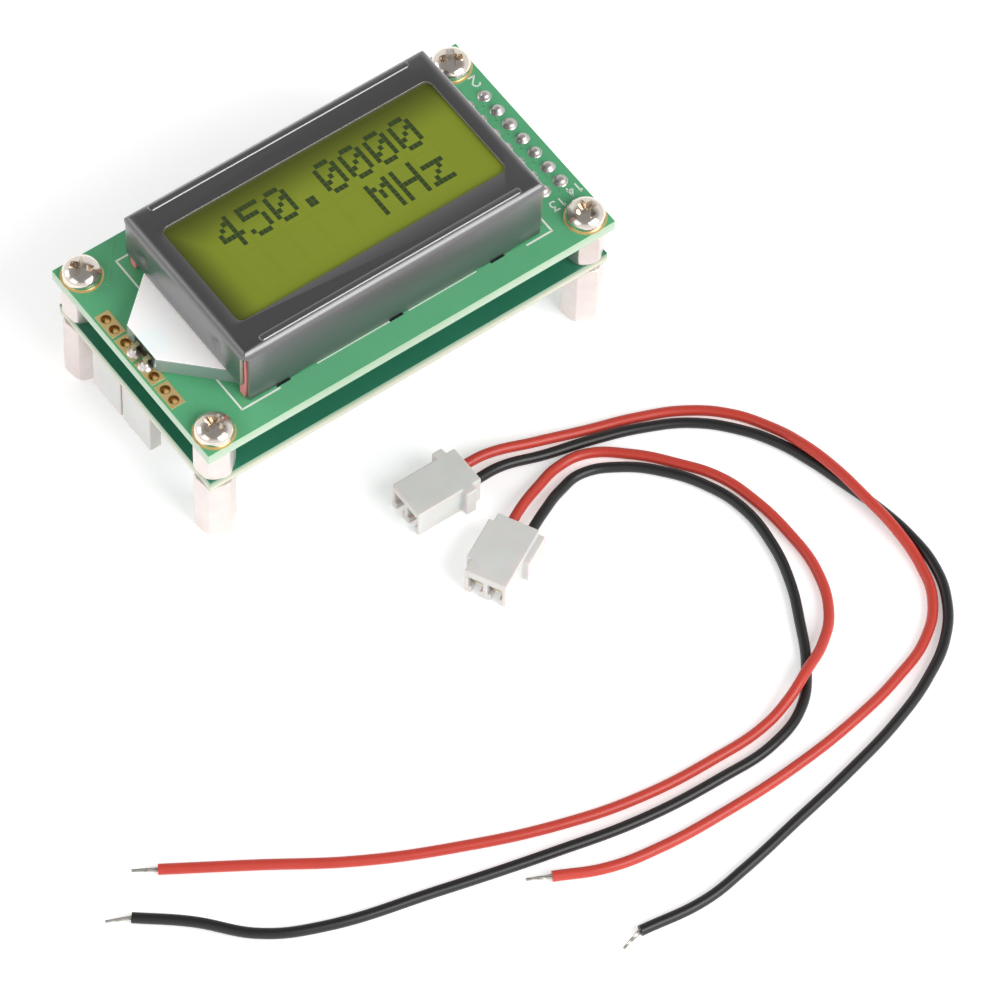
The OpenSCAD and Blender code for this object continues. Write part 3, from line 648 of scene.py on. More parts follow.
def turn_profile(bm, profile, centre=(0, 0), steps=32):
    """A round shape: a profile of (radius, height) points spun about an upright axis."""
    verts = [bm.verts.new((r, 0, z)) for r, z in profile]
    edges = [bm.edges.new(pair) for pair in zip(verts, verts[1:])]
    old = set(bm.verts) - set(verts)
    bmesh.ops.spin(bm, geom=verts + edges, cent=(0, 0, 0), axis=(0, 0, 1), angle=2 * math.pi,
                   steps=steps, use_merge=True)
    made = [v for v in bm.verts if v not in old]
    bmesh.ops.remove_doubles(bm, verts=made, dist=0.0005)
    made = [v for v in bm.verts if v not in old]
    bmesh.ops.translate(bm, vec=(centre[0], centre[1], 0), verts=made)
    return made


def flat_outline(bm, points, z):
    """One flat face through (x, y) points at a height."""
    return bm.faces.new([bm.verts.new((x, y, z)) for x, y in points])


def raise_face(bm, face, height):
    """Extrudes a flat face upwards into a closed solid."""
    made = bmesh.ops.extrude_face_region(bm, geom=[face])["geom"]
    bmesh.ops.translate(bm, vec=(0, 0, height), verts=[v for v in made
                                                      if isinstance(v, bmesh.types.BMVert)])


def round_outline(half_x, half_y, r, steps=6, centre=(0, 0)):
    """Points of a rectangle with round corners, anticlockwise."""
    points = []
    for k, (sx, sy) in enumerate(((1, 1), (-1, 1), (-1, -1), (1, -1))):
        for i in range(steps + 1):
            a = math.pi / 2 * (k + i / steps)
            points.append((centre[0] + sx * (half_x - r) + r * math.cos(a),
                           centre[1] + sy * (half_y - r) + r * math.sin(a)))
    return points


print("bodies:", sorted(set(BODY_OF.values())))

# %% [markdown]
# The leads get their finish and ride on their bodies now, and each lead's CAD wire is hidden. Each
# pair ends bare in tinned tips, which stand for the CAD tips of each lead.

for lead in ("power", "signal"):
    both = bmesh.new()
    for colour in ("red", "black"):
        wire = lead + "_" + colour + "_wire"
        add_part(both, stranded_tip(ROUTES[wire][-1], TIP_ANGLES[wire]))
    tips = make_piece(both, lead + "_bare_strands", lead + "_wire_tips", paint["tin"])
    for colour in ("red", "black"):
        name = lead + "_" + colour + "_wire"
        register(wires[name], name, paint["wire_" + colour])
print("leads declared:", list(wires))

# %% [markdown]
# The bezel is one blank of thin black steel, folded down on four sides. It starts as a cube: the
# underside is taken away, the top's four edges are beveled into the bend, and planes cut the walls
# where the blank stops. The corners stay open, because the blank is notched there so that it can fold;
# pink rubber shows through them. The long walls stand on the board on short shoulders, and a tab under
# each shoulder goes through the board and is twisted to hold the display down.

# %% Folded bezel
SHEET = 0.5
BEND = 1.25
SLOT = 0.8
BEND_DROP = 1.1
LIFT = 0.2
LEFT_LIFT = 2.8
SHOULDER = 4.4
TAB_W = 1.6
TAB_XS = (-16, 0, 14.5)
WINDOW = (19, 8, 0.9)
DENTS = ((8.2, 23.2, 1.1, 0.5), (-6.9, 24.2, 0.8, 0.42))
DENT_STEP = 0.35
DENT_FROM = 22
BX, BY = bezel_high.x, bezel_high.y
TOP = BEZEL_TOP - 0.2


def cut_planes(bm, axis, places):
    """Cuts everything by planes square to an axis."""
    for place in places:
        point = [0, 0, 0]
        normal = [0, 0, 0]
        point[axis], normal[axis] = place, 1
        bmesh.ops.bisect_plane(bm, geom=bm.verts[:] + bm.edges[:] + bm.faces[:], dist=0.0001,
                               plane_co=point, plane_no=normal)


def drop_faces(bm, wrong):
    """Deletes the faces whose middle passes a test."""
    gone = [f for f in bm.faces if wrong(f.calc_center_median())]
    bmesh.ops.delete(bm, geom=gone, context="FACES")


# the walls are painted a little greyer than the top below the bend, a painted sheen standing in for the
# soft light the folded walls catch
tree, colour, black, _, split = open_finish(paint["bezel"])
painted_wall_sheen = ramp_node(tree, split["Z"], TOP - 0.3, TOP - BEND)
tree.links.new(mix_colour(tree, painted_wall_sheen, black, srgb(50, 50, 55)), colour)

bm = bmesh.new()
add_box(bm, (-BX, -BY, BOARD_TOP), (BX, BY, TOP))
bmesh.ops.delete(bm, geom=[f for f in bm.faces if f.normal.z < -0.5], context="FACES")
rim = [e for e in bm.edges if all(v.co.z > TOP - 0.01 for v in e.verts)]
bmesh.ops.bevel(bm, geom=rim, offset=BEND, segments=6, affect="EDGES", profile=0.5, material=-1)
# the window: the top face makes way for a rounded hole, and the ring between is filled again
cut_planes(bm, 0, (-(BX - SLOT), BX - SLOT))
cut_planes(bm, 1, (-(BY - SLOT), BY - SLOT))
cut_planes(bm, 2, (TOP - BEND_DROP, BOARD_TOP + LIFT, BOARD_TOP + LEFT_LIFT))
shoulder_edges = [x + s * SHOULDER / 2 for x in TAB_XS for s in (-1, 1)]
cut_planes(bm, 0, [x for x in shoulder_edges if abs(x) < BX - SLOT])


def outside_blank(c):
    """True where the folded blank has no steel."""
    in_slot = abs(c.x) > BX - SLOT and abs(c.y) > BY - SLOT and c.z < TOP - BEND_DROP
    long_wall = abs(c.y) > BY - 0.01
    on_shoulder = any(abs(c.x - x) < SHOULDER / 2 for x in TAB_XS)
    under_long = long_wall and c.z < BOARD_TOP + LIFT and not on_shoulder
    under_right = c.x > BX - 0.01 and c.z < BOARD_TOP + LIFT
    under_left = c.x < -(BX - 0.01) and c.z < BOARD_TOP + LEFT_LIFT
    return in_slot or under_long or under_right or under_left


# two shallow dents in the left wall, where the press tool held the blank
cut_planes(bm, 2, [DENT_FROM + DENT_STEP * k for k in range(10)])
for mid_y, *_ in DENTS:
    cut_planes(bm, 1, [mid_y + DENT_STEP * k for k in range(-5, 6)])
for vert in bm.verts:
    if vert.co.x < -(BX - 0.1):
        for mid_y, mid_z, width, depth in DENTS:
            apart = math.hypot(vert.co.y - mid_y, vert.co.z - mid_z)
            vert.co.x += depth * math.exp(-(apart / width) ** 2)
# the four corners of the bend are rounded in plan, as a real fold pulls them in
for vert in bm.verts:
    past_x, past_y = abs(vert.co.x) - BX + SLOT, abs(vert.co.y) - BY + SLOT
    past = math.hypot(past_x, past_y)
    if min(past_x, past_y) > 0 and past > SLOT and vert.co.z > TOP - BEND_DROP - 0.01:
        vert.co.x -= math.copysign(past_x * (1 - SLOT / past), vert.co.x)
        vert.co.y -= math.copysign(past_y * (1 - SLOT / past), vert.co.y)
drop_faces(bm, outside_blank)
bmesh.ops.delete(bm, geom=[f for f in bm.faces if f.normal.z > 0.99
                           and f.calc_center_median().z > TOP - 0.01], context="FACES")
open_rim = [e for e in bm.edges if e.is_boundary and all(v.co.z > TOP - 0.01 for v in e.verts)]
hole = flat_outline(bm, round_outline(*WINDOW), TOP)
hole_edges = list(hole.edges)
bmesh.ops.delete(bm, geom=[hole], context="FACES_ONLY")
bmesh.ops.triangle_fill(bm, edges=open_rim + hole_edges, use_beauty=True, use_dissolve=True)
bezel = make_piece(bm, "folded_bezel", "lcd_bezel", paint["bezel"], smooth=40)
wall = bezel.modifiers.new("sheet", "SOLIDIFY")
wall.thickness = SHEET * MM
wall.offset = -1
bezel.data.materials.append(paint["cut_edge"])
wall.material_offset_rim = 1
soften(bezel, 0.1, 2, 50)
print("bezel faces before thickness:", len(bezel.data.polygons))

# %% [markdown]
# The tabs are flat strips that pass through slots in the board and are twisted below it. Two long beads
# are pressed into the bezel's top to stiffen it; a bead is a rounded outline raised a little and
# narrowed as it rises, so that light runs along its flanks. Its finish is also a lighter black than
# the bezel's, a painted sheen that makes each bead show as a light line.

# %% Tabs and beads
TAB_TWIST = 32
BEAD_HALF = WINDOW[0] - 0.5
BEAD_W = 1
BEAD_R = 0.45
BEAD_SINK, BEAD_FOOT = 0.02, 0.03
BEAD_STEPS = ((0.06, 0.08), (0.1, 0.07), (0.14, 0.04))

bm = bmesh.new()
for tab_x in TAB_XS:
    for s in (-1, 1):
        y = s * (BY - SHEET / 2)
        add_box(bm, (tab_x - TAB_W / 2, y - SHEET / 2, board_low.z),
                (tab_x + TAB_W / 2, y + SHEET / 2, BOARD_TOP + 0.3))
        foot = add_box(bm, (tab_x - TAB_W / 2, y - SHEET / 2, bezel_low.z),
                       (tab_x + TAB_W / 2, y + SHEET / 2, board_low.z))
        bmesh.ops.rotate(bm, cent=(tab_x, y, 0), verts=foot,
                         matrix=Matrix.Rotation(math.radians(TAB_TWIST), 3, "Z"))
make_piece(bm, "twisted_tabs", "lcd_bezel", paint["bezel"], bevel=0.06, stands_for=False)

# the beads' lighter black is a painted sheen, standing in for the highlight along them
paint["bead"] = finish("bead_black_painted_sheen", (52, 52, 56), (34, 34, 38), 90, 0.4, 0.3, 0.1, 0.03, 2600,
                       Coat_Weight=1.0, Coat_Roughness=0.2, Coat_IOR=2.0)
bm = bmesh.new()
for s in (-1, 1):
    outline = round_outline(BEAD_HALF, BEAD_W / 2, BEAD_R, centre=(0, s * (BY - 1.2)))
    face = flat_outline(bm, outline, TOP - BEAD_SINK)
    made = bmesh.ops.extrude_face_region(bm, geom=[face])["geom"]
    crown = [g for g in made if isinstance(g, bmesh.types.BMFace)][0]
    bmesh.ops.translate(bm, vec=(0, 0, BEAD_FOOT), verts=crown.verts)
    crown.normal_update()
    for inset, rise in BEAD_STEPS:
        bmesh.ops.inset_region(bm, faces=[crown], thickness=inset)
        bmesh.ops.translate(bm, vec=(0, 0, rise), verts=crown.verts)
make_piece(bm, "bezel_beads", "lcd_bezel", paint["bead"], smooth=60, stands_for=False)
print("beads stand", round(BEAD_FOOT - BEAD_SINK + sum(rise for _, rise in BEAD_STEPS), 2), "mm proud")

# %% [markdown]
# The display. Its face is a polariser film: a yellow-green sheet, a little darker where the bezel
# shades it, with sixteen faintly paler cells where characters can stand. The cells come from the
# material, which folds the object's own coordinates back on themselves at the character pitch; the lit
# dots are real thin plates, because they have to be crisp from every side.

# %% Screen material
CELL_PITCH = (3.55, 5.94)
DOT_PITCH = (0.60, 0.70)
DOT = (0.56, 0.66)
CELL = (4 * DOT_PITCH[0] + DOT[0], 7 * DOT_PITCH[1] + DOT[1])
COLUMNS, ROWS = 8, 2
SCREEN_COLOUR, SCREEN_SECOND = (127, 139, 38), (106, 118, 26)
CELL_COLOUR, CELL_SHOW = srgb(142, 164, 72), 0.05
SHADE_COLOUR, SHADE_DEPTH = srgb(56, 60, 14), 0.8
SHADE_BACK, SHADE_LEFT = 6, 4

paint["screen"] = finish("lcd_film", SCREEN_COLOUR, SCREEN_SECOND, 60, 0.5, 0.36, 0.08, 0.04, 3000,
                         Specular_IOR_Level=0.3)
tree, colour, base, _, split = open_finish(paint["screen"])


def inside_cell(axis, pitch, size, count):
    """1 where a coordinate lies in one of the cells along an axis, else 0."""
    here = split[axis]
    from_start = math_node(tree, "ADD", here, pitch * count / 2 * MM)
    folded = math_node(tree, "PINGPONG", from_start, pitch / 2 * MM)
    near_middle = math_node(tree, "GREATER_THAN", folded, (pitch - size) / 2 * MM)
    in_field = math_node(tree, "LESS_THAN", math_node(tree, "ABSOLUTE", here), pitch * count / 2 * MM)
    return math_node(tree, "MULTIPLY", near_middle, in_field)


cells = math_node(tree, "MULTIPLY", inside_cell("X", CELL_PITCH[0], CELL[0], COLUMNS),
                  inside_cell("Y", CELL_PITCH[1], CELL[1], ROWS))
cell_tint = mix_colour(tree, math_node(tree, "MULTIPLY", cells, CELL_SHOW), base, CELL_COLOUR)
shade = math_node(tree, "MAXIMUM",
                  ramp_node(tree, split["Y"], WINDOW[1] - SHADE_BACK, WINDOW[1], "SMOOTHSTEP"),
                  ramp_node(tree, split["X"], -WINDOW[0] + SHADE_LEFT, -WINDOW[0], "SMOOTHSTEP"))
shaded = mix_colour(tree, math_node(tree, "MULTIPLY", shade, SHADE_DEPTH), cell_tint, SHADE_COLOUR)
tree.links.new(shaded, colour)
paint["dot"] = finish("lcd_dot", (44, 62, 18), (38, 54, 14), 300, 0.5, 0.3, 0.05, 0.02, 3000,
                      Coat_Weight=0.2)
paint["glass"] = finish("lcd_glass", (150, 168, 84), (140, 158, 76), 200, 0.5, 0.08, 0.02,
                        0.01, Transmission_Weight=0.6, IOR=1.5)
print("one character cell is", [round(c, 2) for c in CELL], "mm")

# %% [markdown]
# The reading is a plain number and its unit, in the five by seven dot font that every such display
# uses. Each glyph is seven rows of five marks, so the text is easy to read in the code, and a loop sets
# one small plate for each mark.

# %% Dots of the reading
GLYPHS = {
    "4": "...#. ..##. .#.#. #..#. ##### ...#. ...#.",
    "5": "##### #.... ####. ....# ....# #...# .###.",
    "0": ".###. #...# #..## #.#.# ##..# #...# .###.",
    ".": "..... ..... ..... ..... ..... .##.. .##..",
    "M": "#...# ##.## #.#.# #.#.# #...# #...# #...#",
    "H": "#...# #...# #...# ##### #...# #...# #...#",
    "z": "..... ..... ##### ...#. ..#.. .#... #####",
    " ": "..... ..... ..... ..... ..... ..... .....",
}
LINES = ("450.0000", "     MHz")
DOT_RISE = 0.012
DOT_SINK = 0.02

bm = bmesh.new()
dot_count = 0
for row, line in enumerate(LINES):
    for column, letter in enumerate(line):
        left = (column - COLUMNS / 2 + 0.5) * CELL_PITCH[0] - CELL[0] / 2
        top = (0.5 - row) * CELL_PITCH[1] + CELL[1] / 2
        for j, marks in enumerate(GLYPHS[letter].split()):
            for i, mark in enumerate(marks):
                if mark == "#":
                    x, y = left + i * DOT_PITCH[0], top - j * DOT_PITCH[1]
                    add_box(bm, (x, y - DOT[1], film_high.z - DOT_SINK),
                            (x + DOT[0], y, film_high.z + DOT_RISE))
                    dot_count += 1
make_piece(bm, "lcd_dots", "front_polariser", paint["dot"], stands_for=False)
print("dots lit:", dot_count)

# %% [markdown]
# Film, glass and carrier keep their CAD shapes. Thin sheets only need their edges eased, so the CAD
# meshes are copied, their sharp edges beveled by a few hundredths of a millimetre, and the finish laid
# on.

# %% Film, glass and carrier
for node, key, edge in (("front_polariser", "screen", 0.03), ("front_glass", "glass", 0.06),
                        ("rear_glass", "glass", 0.06), ("rear_polariser", "screen", 0.03),
                        ("diffuser_sheet", "film", 0.03), ("glass_carrier", "frame_white", 0.12)):
    refine(node, paint[key], edge)
print("sheets under the bezel refined")

# %% [markdown]
# The pink contact strips are soft: squeezed between the glass and the board, they bulge outwards. Each
# starts as a box, is cut across its height, and the cuts are pushed out by a curve that is nothing at
# the ends.

# %% Contact strips
STRIP_CUTS = 8
BULGE = 0.22

bm = bmesh.new()
for low, high in island_boxes("contact_strips"):
    strip = bmesh.new()
    add_box(strip, low, high)
    cut_planes(strip, 2, [low.z + (high.z - low.z) * i / STRIP_CUTS for i in range(1, STRIP_CUTS)])
    out = 1 if low.y > 0 else -1
    for vert in strip.verts:
        up_wall = (vert.co.z - low.z) / (high.z - low.z)
        if vert.co.y * out > (low.y + high.y) / 2 * out:
            vert.co.y += out * BULGE * math.sin(math.pi * up_wall)
    add_part(bm, strip)
make_piece(bm, "rubber_strips", "contact_strips", paint["rubber"], bevel=0.12, segments=3, smooth=50)
print("strips bulge by", BULGE, "mm")

# %% [markdown]
# The light guide is a plate of white acrylic whose nose sticks out under the bezel's left wall. Its
# nose holds a small LED with its legs bent down to the gold pads. The guide and the LED keep the CAD
# shape with eased edges.

# %% Light guide and LED
guide = refine("light_guide", paint["acrylic"], 0.14, 3)
guide.data.materials.append(paint["guide_edge"])
for polygon in guide.data.polygons:
    if abs(polygon.normal.z) < 0.5:
        polygon.material_index = 1
refine("backlight_led", paint["led"], 0.08)
print("guide from", round(guide_low.x, 1), "to", round(guide_high.x, 1))

# %% [markdown]
# Solder joints. Molten solder wets the pad and climbs the pin, so a joint is a small bright bell: wide
# and concave at its foot, round at its top. The profile is spun at every pin of the header, each time a
# little different in height and width, and leaning by its own small angle.

# %% Solder joints of the header
JOINT = ((0.0, 0.64), (0.22, 0.63), (0.42, 0.56), (0.56, 0.44), (0.66, 0.28), (0.74, 0.14),
         (0.82, 0.05), (0.92, 0.0))
LED_JOINT = ((0.0, 0.7), (0.25, 0.68), (0.42, 0.56), (0.52, 0.38), (0.66, 0.16), (0.8, 0.05), (0.88, 0.0))
UNDER_SIZE = 1.1
HEIGHT_SWING, WIDTH_SWING, LEAN = 0.09, 0.04, 0.06


def solder_joints(name, node, spots, base_z, direction, profile=JOINT, size=1.0):
    """One joint at each (x, y) spot, standing up (1) or hanging down (-1) from a height."""
    bm = bmesh.new()
    for i, (x, y) in enumerate(spots):
        height = 1 + HEIGHT_SWING * math.sin(2.1 * i + 0.7)
        width = size * (1 + WIDTH_SWING * math.cos(1.7 * i))
        shape = [(max(r * width, 0.0), z * height * size) for r, z in profile]
        made = turn_profile(bm, shape, steps=20)
        lean = Matrix.Rotation(LEAN * math.sin(3 * i), 4, "X")
        bmesh.ops.transform(bm, matrix=lean, verts=made)
        flip = Matrix.Diagonal((1, 1, direction, 1))
        bmesh.ops.transform(bm, matrix=Matrix.Translation((x, y, base_z)) @ flip, verts=made)
    return make_piece(bm, name, node, paint["solder"], smooth=70)


PIN_SPOTS = [middle(*box) for box in island_boxes("header_pins")]
solder_joints("header_joints_top", "header_solder_top", PIN_SPOTS, BOARD_TOP, 1)
solder_joints("header_joints_bottom", "header_solder_bottom", PIN_SPOTS, main_low.z, -1, size=UNDER_SIZE)
PAD_X = middle(*node_box("backlight_pads"))[0]
LED_SPOTS = [(PAD_X, middle(*box)[1]) for box in island_boxes("led_solder")]
solder_joints("led_joints", "led_solder", LED_SPOTS, BOARD_TOP + 0.04, 1, LED_JOINT)
print("joints:", 2 * len(PIN_SPOTS) + len(LED_SPOTS))

# %% [markdown]
# The screws have a domed pan head with a cross recess. The head is a profile spun about the screw's
# axis: a short upright rim, then a shallow dome. The recess is cut with a tapered cross, because a real
# driver bit is tapered, and the Boolean modifier takes it out of all four heads at once.

# %% Screws
HEAD_R, HEAD_H, RIM = 2.4, 1.85, 0.55
SHANK_R = 1.22
CROSS_W, CROSS_L, CROSS_FLOOR = 1.1, 3.8, 0.5
TAPER_L, TAPER_W = 0.36, 0.75
CROSS_TURNS = (18, 40, 5, 62)
TOOTH, FLANK, THREAD_PITCH = 0.16, 0.15, 0.45


def thread_profile(low, high):
    """A thread's outline between two heights, one tooth for each turn."""
    points = []
    while low < high:
        points += [(SHANK_R - TOOTH, low), (SHANK_R, low + FLANK), (SHANK_R - TOOTH, low + 2 * FLANK)]
        low += THREAD_PITCH
    return points


screw_boxes = island_boxes("board_screws")
SEAT = BOARD_TOP + 0.05
CORNERS = [middle(*box) for box in screw_boxes]
dome = [(HEAD_R * math.cos(math.radians(a)),
         RIM + (HEAD_H - RIM) * math.sin(math.radians(a))) for a in range(0, 91, 9)]
dome[-1] = (0.0, HEAD_H)
tip_z = screw_boxes[0][0].z - SEAT
thread = [(0.0, tip_z), (SHANK_R - 0.3, tip_z), *thread_profile(tip_z + FLANK, -0.3),
          (SHANK_R - 0.1, 0), (HEAD_R - 0.12, 0), (HEAD_R, 0.1)]
bm = bmesh.new()
for x, y in CORNERS:
    made = turn_profile(bm, thread + dome, (x, y), 40)
    bmesh.ops.translate(bm, vec=(0, 0, SEAT), verts=made)
screws = make_piece(bm, "pan_head_screws", "board_screws", paint["screw_nickel"], smooth=32)

bm = bmesh.new()
for k, (x, y) in enumerate(CORNERS):
    turn = Matrix.Rotation(math.radians(CROSS_TURNS[k]), 4, "Z")
    for quarter in (0, 90):
        wing = add_box(bm, (-CROSS_L / 2, -CROSS_W / 2, CROSS_FLOOR),
                       (CROSS_L / 2, CROSS_W / 2, HEAD_H + 0.5))
        for vert in wing:
            if vert.co.z < 1:
                vert.co.x *= TAPER_L
                vert.co.y *= TAPER_W
        spin_to = Matrix.Translation((x, y, SEAT)) @ turn @ Matrix.Rotation(math.radians(quarter), 4, "Z")
        bmesh.ops.transform(bm, matrix=spin_to, verts=wing)
bmesh.ops.scale(bm, vec=(MM, MM, MM), verts=bm.verts)
bmesh.ops.recalc_face_normals(bm, faces=bm.faces)
cutter = place_object("driver_cross", mesh_from(bm, "driver_cross"))
recess = screws.modifiers.new("recess", "BOOLEAN")
recess.object = cutter
recess.operation = "DIFFERENCE"
recess.solver = "EXACT"
recess.use_self = True
bpy.context.view_layer.update()
cut = bpy.data.meshes.new_from_object(screws.evaluated_get(bpy.context.evaluated_depsgraph_get()))
screws.modifiers.clear()
screws.data = cut
screws.data.materials.clear()
screws.data.materials.append(paint["screw_nickel"])
smooth_mesh(cut, 32)
bpy.data.objects.remove(cutter)
soften(screws, 0.05, 2, 45)
print("screw faces:", len(screws.data.polygons))

# %% [markdown]
# The posts. Standoffs are hexagonal bar, turned at both ends so that the corners are cut back to a
# chamfer. A ring between a hexagon and a circle is pulled up into a bored bar, and the corners at its
# ends are beveled off. The stud is a spun thread. The bore in a foot's underside is blind, and a screw
# goes into it from below; the bore in a spacer goes right through.

# %% Posts
HEX_AF = 4.5
HEX_TURN = 9
HEX_CHAMFER = 0.5
HEX_EDGE = 0.16
BORE_R, BORE_DEEP = 1.025, 6
SPACER_BORE_R, THROUGH = 1.25, 99


def hex_tube(bm, x, y, low, high, bore_r, deep):
    """A hexagonal bar between two heights with a bore from below; the bore may go right through."""
    outer = bmesh.ops.create_circle(bm, segments=6, radius=HEX_AF / 2 / math.cos(math.radians(30)),
                                    matrix=Matrix.Rotation(math.radians(HEX_TURN), 4, "Z"))["verts"]
    inner = bmesh.ops.create_circle(bm, segments=24, radius=bore_r)["verts"]
    rings = list({e for v in outer + inner for e in v.link_edges})
    bmesh.ops.bridge_loops(bm, edges=rings)

    def pull_up(loop, rise):
        """Extrudes one ring upwards; returns its new edges and vertices."""
        edges = [e for e in rings if e.verts[0] in loop]
        made = bmesh.ops.extrude_edge_only(bm, edges=edges)["geom"]
        verts = [g for g in made if isinstance(g, bmesh.types.BMVert)]
        bmesh.ops.translate(bm, vec=(0, 0, rise), verts=verts)
        return [g for g in made if isinstance(g, bmesh.types.BMEdge)
                and all(v in verts for v in g.verts)], verts

    out_edges, top_out = pull_up(outer, high - low)
    in_edges, top_in = pull_up(inner, min(deep, high - low))
    if deep >= high - low:
        bmesh.ops.bridge_loops(bm, edges=out_edges + in_edges)
    else:
        bmesh.ops.contextual_create(bm, geom=out_edges)
        bmesh.ops.contextual_create(bm, geom=in_edges)
    made = list(set(outer + inner + top_out + top_in))
    bmesh.ops.translate(bm, vec=(x, y, low), verts=made)
    bmesh.ops.bevel(bm, geom=outer + top_out, offset=HEX_CHAMFER, segments=1, affect="VERTICES")


for name, node, low_z, high_z, bore_r, deep in (
        ("hex_feet", "board_feet", 0, main_low.z, BORE_R, BORE_DEEP),
        ("hex_spacers", "board_spacers", main_high.z, board_low.z, SPACER_BORE_R, THROUGH)):
    bm = bmesh.new()
    for x, y in CORNERS:
        hex_tube(bm, x, y, low_z, high_z, bore_r, deep)
    make_piece(bm, name, node, paint["nickel"], bevel=HEX_EDGE, smooth=32)
bm = bmesh.new()
stud_top = node_box("board_feet")[1].z
stud_foot = main_low.z - 0.3
stud = [(0.0, stud_foot), (SHANK_R - TOOTH, stud_foot), *thread_profile(main_low.z, stud_top - 0.4),
        (SHANK_R - 0.35, stud_top), (0.0, stud_top)]
for x, y in CORNERS:
    turn_profile(bm, stud, (x, y), 28)
make_piece(bm, "foot_studs", "board_feet", paint["nickel"], smooth=40, stands_for=False)
print("posts stand at", [tuple(round(c, 1) for c in corner) for corner in CORNERS])

# %% [markdown]
# The boards and everything printed on them. The boards keep their CAD meshes, with the solder mask
# finish. On top of the mask lie thin raised things: the white silk outline round the display, pin
# numbers, and the copper tracks, which show as slightly paler lines under the mask. One function lays a
# strip of a given width along a path, as a row of short bars with a round patch at each joint.

# %% Strips on a board
SILK_W = 0.24
FINE_SILK_W = 0.15
PEN_W = 0.2
SILK_RISE = 0.015
TRACK_W = 0.36
UNDER_TRACK_W = 0.26
TRACK_RISE = 0.025
LETTER_STEP = 0.85


def lay_strip(bm, path, width, z, rise):
    """A flat strip along (x, y) points, from a height z up (or down, for a negative rise)."""
    low, high = min(z, z + rise), max(z, z + rise)
    for (ax, ay), (bx, by) in zip(path, path[1:]):
        run = math.hypot(bx - ax, by - ay)
        bar = add_box(bm, (0, -width / 2, low), (run, width / 2, high))
        turn = Matrix.Rotation(math.atan2(by - ay, bx - ax), 4, "Z")
        bmesh.ops.transform(bm, matrix=Matrix.Translation((ax, ay, 0)) @ turn, verts=bar)
    for x, y in path[1:-1]:
        disc = bmesh.ops.create_cone(bm, cap_ends=True, segments=12, radius1=width / 2,
                                     radius2=width / 2, depth=high - low - 0.001)["verts"]
        bmesh.ops.translate(bm, vec=(x, y, (low + high) / 2), verts=disc)


DIGITS = {
    "1": [[(0.1, 0.8), (0.35, 1), (0.35, 0)]],
    "2": [[(0, 0.8), (0.15, 1), (0.45, 1), (0.6, 0.8), (0.6, 0.62), (0, 0), (0.62, 0)]],
    "3": [[(0, 1), (0.6, 1), (0.28, 0.6), (0.5, 0.55), (0.6, 0.3), (0.45, 0), (0.1, 0), (0, 0.15)]],
    "4": [[(0.45, 0), (0.45, 1), (0, 0.35), (0.62, 0.35)]],
}


def print_number(bm, text, x, y, height, turn=0):
    """Silk-screened digits, drawn as pen strokes, with their lower left corner at (x, y)."""
    for k, letter in enumerate(text):
        for stroke in DIGITS[letter]:
            path = []
            for u, v in stroke:
                px, py = (u + LETTER_STEP * k) * height, v * height
                a = math.radians(turn)
                path.append((x + px * math.cos(a) - py * math.sin(a),
                             y + px * math.sin(a) + py * math.cos(a)))
            lay_strip(bm, path, PEN_W, BOARD_TOP, SILK_RISE)


for node in ("display_board", "main_board"):
    frame["nodes"][node].material_slots[0].material = paint[node]

bm = bmesh.new()
OX, OY = 22.1, 12.85
NUMBERS = (("2", 28, 10.85, 1.5), ("14", 28.8, -8.85, 1.3), ("13", 25.95, -9.5, 1.3))
lay_strip(bm, [(-16.7, -OY), (-OX, -OY), (-OX, OY), (OX, OY), (OX, -OY), (18.4, -OY)], SILK_W,
          BOARD_TOP, SILK_RISE)
for start_x, end_x in ((-11.3, -1), (1.7, 11.4)):
    lay_strip(bm, [(start_x, -BY - 0.1), (end_x, -BY - 0.1)], FINE_SILK_W, BOARD_TOP, SILK_RISE)
for text, x, y, height in NUMBERS:
    print_number(bm, text, x, y, height, 180)
make_piece(bm, "silk_print", "display_board", paint["silk"], stands_for=False)
print("silk outline", 2 * OX, "x", 2 * OY, "mm")

# %% [markdown]
# Copper tracks leave the header's pins for the display: those of the outer row run between the joints
# of the inner row. One more track, at the far left corner, comes down to a small plated hole, whose
# ring is a spun profile.

# %% Tracks on the display board
VIA, VIA_BEND = (-24.64, 10.82), (-24.1, 11.65)
bm = bmesh.new()
inner_x = min(x for x, _ in PIN_SPOTS)
tracks = []
for x, y in PIN_SPOTS:
    run = ((1.1, 0.9), (3.6, 0.9)) if x < inner_x + 0.1 else ((0.9, 1.27), (1.9, 1.27))
    tracks.append([(x, y), *((x - dx, y - dy) for dx, dy in run)])
tracks += [[(-20.7, 15.6), VIA_BEND], [VIA, VIA_BEND]]
for path in tracks:
    lay_strip(bm, path, TRACK_W, BOARD_TOP, TRACK_RISE)
make_piece(bm, "top_tracks", "display_board", paint["copper_under_mask"], stands_for=False)

bm = bmesh.new()
ring = turn_profile(bm, [(0.16, 0), (0.16, 0.03), (0.34, 0.03), (0.38, 0)], VIA, 20)
bmesh.ops.translate(bm, vec=(0, 0, BOARD_TOP + 0.01), verts=ring)
make_piece(bm, "via_ring", "display_board", paint["copper_under_mask"], stands_for=False)
print("tracks and via laid")

# %% [markdown]
# The gold rings under the screw heads and the backlight pads are plated copper, a few hundredths of a
# millimetre thick. Each ring is a spun profile with a rounded shoulder. The pads keep the CAD shape,
# and a thin spun sleeve lines each of their holes, because the holes are plated through.

# %% Gold
RING = ((1.36, 0), (1.36, 0.045), (2.54, 0.045), (2.6, 0.03), (2.6, 0))
HOLE_STEP, HOLE_R, PLATE = 1.74, 0.64, 0.09
sleeve_r, bore_r = HOLE_R - 0.005, HOLE_R - PLATE

